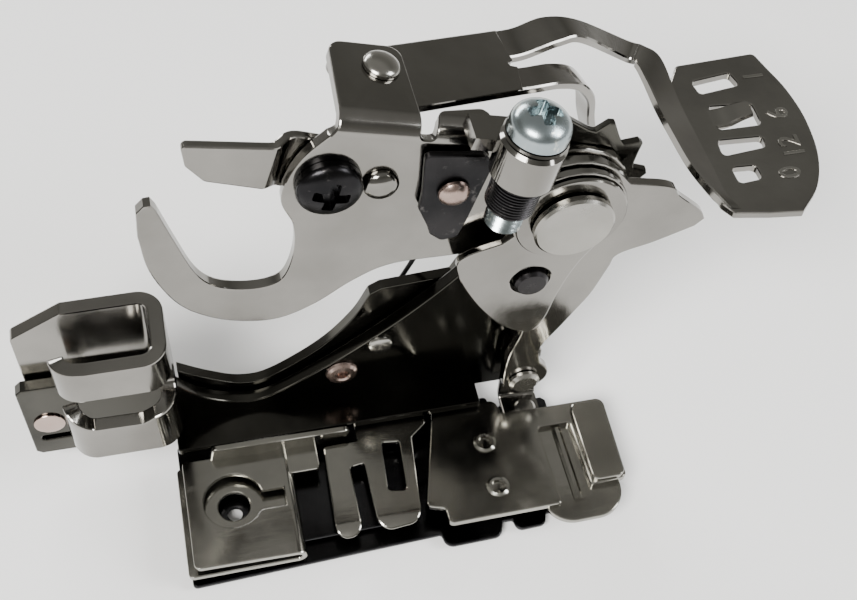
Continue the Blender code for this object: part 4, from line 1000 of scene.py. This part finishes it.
# ---- blade drive ----
def blade_arm(chrome, steel, blued, arm):
    """Bell crank, the cam plate riveted over it, and the pin that drives the blade."""
    right = smooth([(5.0, 1.6), (8.6, 0.5), (9.6, -0.8), (11.8, -3.0), (12.4, -4.1)], 3)
    under = smooth([
        (11.7, -4.9), (8.4, -6.3), (5.5, -7.3), (4.9, -8.9), (3.9, -12.2), (2.8, -14.5),
        (1.7, -16.7), (0.5, -18.9), (0.2, -20.2), (0.5, -22.0), (1.3, -23.4), (1.3, -24.8),
        (0.3, -26.0), (-1.2, -26.3), (-2.6, -25.6), (-2.9, -23.6), (-2.7, -20.2), (-1.9, -16.7),
        (-1.6, -12.0), (-2.4, -8.0), (-4.0, -4.0)], 3)
    boss = arc(0, 0, 5.0, range(200, 24, -14))
    holes = [circle(0, 0, STUD_HOLE_R, 32), circle(*LINK_PIN, 0.95, 16)]
    add("bell_crank", upright(right + under + boss, BELL_Y, holes), chrome, arm)
    left = smooth([
        (-5.2, -2.6), (-7.7, -3.4), (-8.7, -4.3), (-8.5, -6.0), (-8.0, -7.6), (-6.4, -10.8),
        (-4.3, -13.8), (-2.4, -15.2), (-1.2, -15.3), (-0.3, -13.5), (0.4, -10.2), (1.6, -6.6),
        (3.3, -3.6)], 3)
    boss = arc(0, 0, 4.7, range(-44, 204, 13))
    holes = [circle(0, 0, STUD_HOLE_R, 32), circle(*CAM_PIN, 1.7, 24)]
    add("cam_plate", upright(left + boss, ANVIL_Y, holes), chrome, arm)
    pin = turned([(0, -0.75), (1.3, -0.75), (1.45, -0.6), (1.45, 0.3), (1.2, 0.55), (0, 0.6)], 28)
    add("cam_pin", facing(pin, CAM_PIN, ANVIL_Y[0]), blued, arm)
    link = turned([
        (0, -2.8), (1.1, -2.8), (1.25, -2.65), (1.25, -2.35), (0.8, -2.35), (0.8, 0), (1.45, 0),
        (1.45, 0.3), (1.1, 0.55), (0, 0.6)], 24)
    add("link_pin", facing(link, LINK_PIN, BELL_Y[0] - 0.1), steel, arm)


def blade(blued, chrome, steel, slide):
    """Toothed ruffling blade, its carrier bracket and the rivet between them."""
    teeth = []
    for k in range(8):
        y = 3.0 - 0.85 * k
        teeth += [(4.4, y), (5.1, y - 0.42)]
    outline = [(16.0, 3.4), (5.4, 3.4), (4.9, 3.3)] + teeth + [
        (5.0, -4.0), (5.6, -4.2), (15.2, -4.0), (16.2, -3.0), (16.6, -0.6), (17.6, -0.1),
        (30.6, -0.1), (31.0, 0.4), (31.0, 6.2), (30.6, 6.6), (26.6, 6.6), (26.2, 6.2), (26.2, 2.6),
        (25.8, 2.3), (17.0, 2.3)]
    bm = flat(outline, BLADE_Z, [circle(*CARRIER_RIVET, 0.8, 16)])
    add("ruffling_blade", bm, blued, slide)
    window = rounded([
        (7.35, 27.05, 0.6), (10.35, 27.05, 0.6), (10.35, 28.95, 0.6), (7.35, 28.95, 0.6)], 4)
    bracket = sheet(rounded([
        (0, 26.4, 0.5), (11.3, 26.4, 0.8), (11.3, 30.0, 0.8), (0, 30.0, 0.5)]), 0.6,
        [circle(1.3, 28.6, 0.8, 16), window])
    bend(bracket, [2.6, (1.1, 90), 7.0], start=(3.9, 1.3), step=20)
    bracket.transform(Matrix(((0, 1, 0, 0), (1, 0, 0, 0), (0, 0, 1, 0), (0, 0, 0, 1))))
    add("blade_carrier", bracket, chrome, slide)
    pin = turned([
        (0, -1.15), (0.65, -1.15), (0.65, 0), (1.0, 0), (1.0, 0.15), (0.75, 0.38), (0, 0.42)], 20)
    pin.transform(Matrix.Translation((*CARRIER_RIVET, 1.95)))
    add("carrier_rivet", pin, steel, slide)


# ---- floor, light and camera ----
def floor():
    """Plain pale floor just under the sole."""
    mesh = bpy.data.meshes.new("floor")
    z = -(SEAT.z + 0.6) * MM
    mesh.from_pydata([
        (-1.5, -1.5, z), (1.5, -1.5, z), (1.5, 1.5, z), (-1.5, 1.5, z)], [], [(0, 1, 2, 3)])
    made = place_object("floor", mesh)
    pale = bpy.data.materials.new("pale_floor")
    pale.use_nodes = True
    shader = pale.node_tree.nodes["Principled BSDF"]
    shader.inputs["Base Color"].default_value = (0.92, 0.92, 0.915, 1)
    shader.inputs["Roughness"].default_value = 0.8
    mesh.materials.append(pale)


def area_light(name, location, target, size, power, colour=(1, 1, 1)):
    """Soft rectangular light aimed at a point."""
    light = bpy.data.lights.new(name, "AREA")
    light.shape = "RECTANGLE"
    light.size, light.size_y = size
    light.energy = power
    light.color = colour
    made = place_object(name, light)
    made.location = location
    made.rotation_euler = (Vector(target) - Vector(location)).to_track_quat("-Z", "Y").to_euler()


def surroundings():
    """Dim room, lighter towards the horizon, with soft boxes over and beside the object."""
    world = bpy.data.worlds.new("room")
    bpy.context.scene.world = world
    world.use_nodes = True
    nodes, links = world.node_tree.nodes, world.node_tree.links
    coords = nodes.new("ShaderNodeTexCoord")
    split = nodes.new("ShaderNodeSeparateXYZ")
    links.new(coords.outputs["Generated"], split.inputs[0])
    colour = ramp(nodes, links, split.outputs["Z"], [
        (0.0, (0.60, 0.59, 0.57)), (0.32, (0.40, 0.39, 0.36)), (0.58, (0.26, 0.257, 0.235)), (0.80,
        (0.48, 0.475, 0.445)), (1.0, (0.48, 0.47, 0.45))])
    links.new(colour, nodes["Background"].inputs["Color"])
    nodes["Background"].inputs["Strength"].default_value = 0.85
    area_light("key", (-0.22, -0.30, 0.42), (0.02, 0, 0), (0.26, 0.20), 6.0, (1.0, 0.985, 0.96))
    area_light("fill", (0.40, -0.16, 0.26), (0.02, 0, 0), (0.20, 0.20), 1.9, (0.97, 0.98, 1.0))
    area_light("rim", (-0.12, 0.42, 0.20), (0.02, 0, 0), (0.30, 0.10), 1.4)


def camera():
    """Camera at the working view of the object, a little in front and above."""
    data = bpy.data.cameras.new("camera")
    data.sensor_width = 36.0
    data.lens = 54.6
    data.clip_start = 0.005
    made = place_object("camera", data)
    right = Vector((0.976, -0.2131, 0.0456)).normalized()
    back = Vector((-0.1627, -0.5731, 0.8032)).normalized()
    up = back.cross(right).normalized()
    right = up.cross(back)
    turn = Matrix((right, up, back)).transposed().to_4x4()
    made.matrix_world = Matrix.Translation((0.00534, -0.06373, 0.08941)) @ turn
    bpy.context.scene.camera = made


# ---- build ----
ROOT = Matrix.Translation(-SEAT)


def main():
    """Builds every piece on its joint's axes, then the stage."""
    fork = axis_place(ROOT, PIVOT, (0, LEVER_TILT, 0))
    number = axis_place(fork, LEVER_RIVET, (0, 0, LEVER_YAW))
    pawl = axis_place(fork, (PAWL_PIN[0], 0, PAWL_PIN[1]))
    turn = axis_place(fork, SCREW_AXIS, (0, SCREW_LEAN, 0))
    stud = axis_place(ROOT, PIVOT)

    shank_clamp(chrome, ROOT)
    frame_plate(chrome_painted_dark, ROOT)
    rear_plate(chrome_painted_dark, ROOT)
    frame_rivets(copper, steel, ROOT)
    main_stud(steel, chrome, ROOT)
    return_spring(black, ROOT)
    presser_sole(foot_chrome, ROOT)
    separator_blade(blade_steel, ROOT)
    guide_fingers(foot_chrome, ROOT)
    guide_plate(foot_chrome, ROOT)

    fork_plate(chrome, fork)
    upper_prong(chrome, black, fork)
    spring_clip(black, copper, fork)
    screw_seat(chrome, black, zinc, fork, turn)
    flange_rivet(steel, fork)
    number_lever(chrome, steel, number)
    ratchet(chrome_painted_dark, stud, pawl)
    blade_arm(chrome, steel, black, stud)
    blade(blade_steel, chrome, steel, ROOT)

    floor()
    surroundings()
    camera()


main()
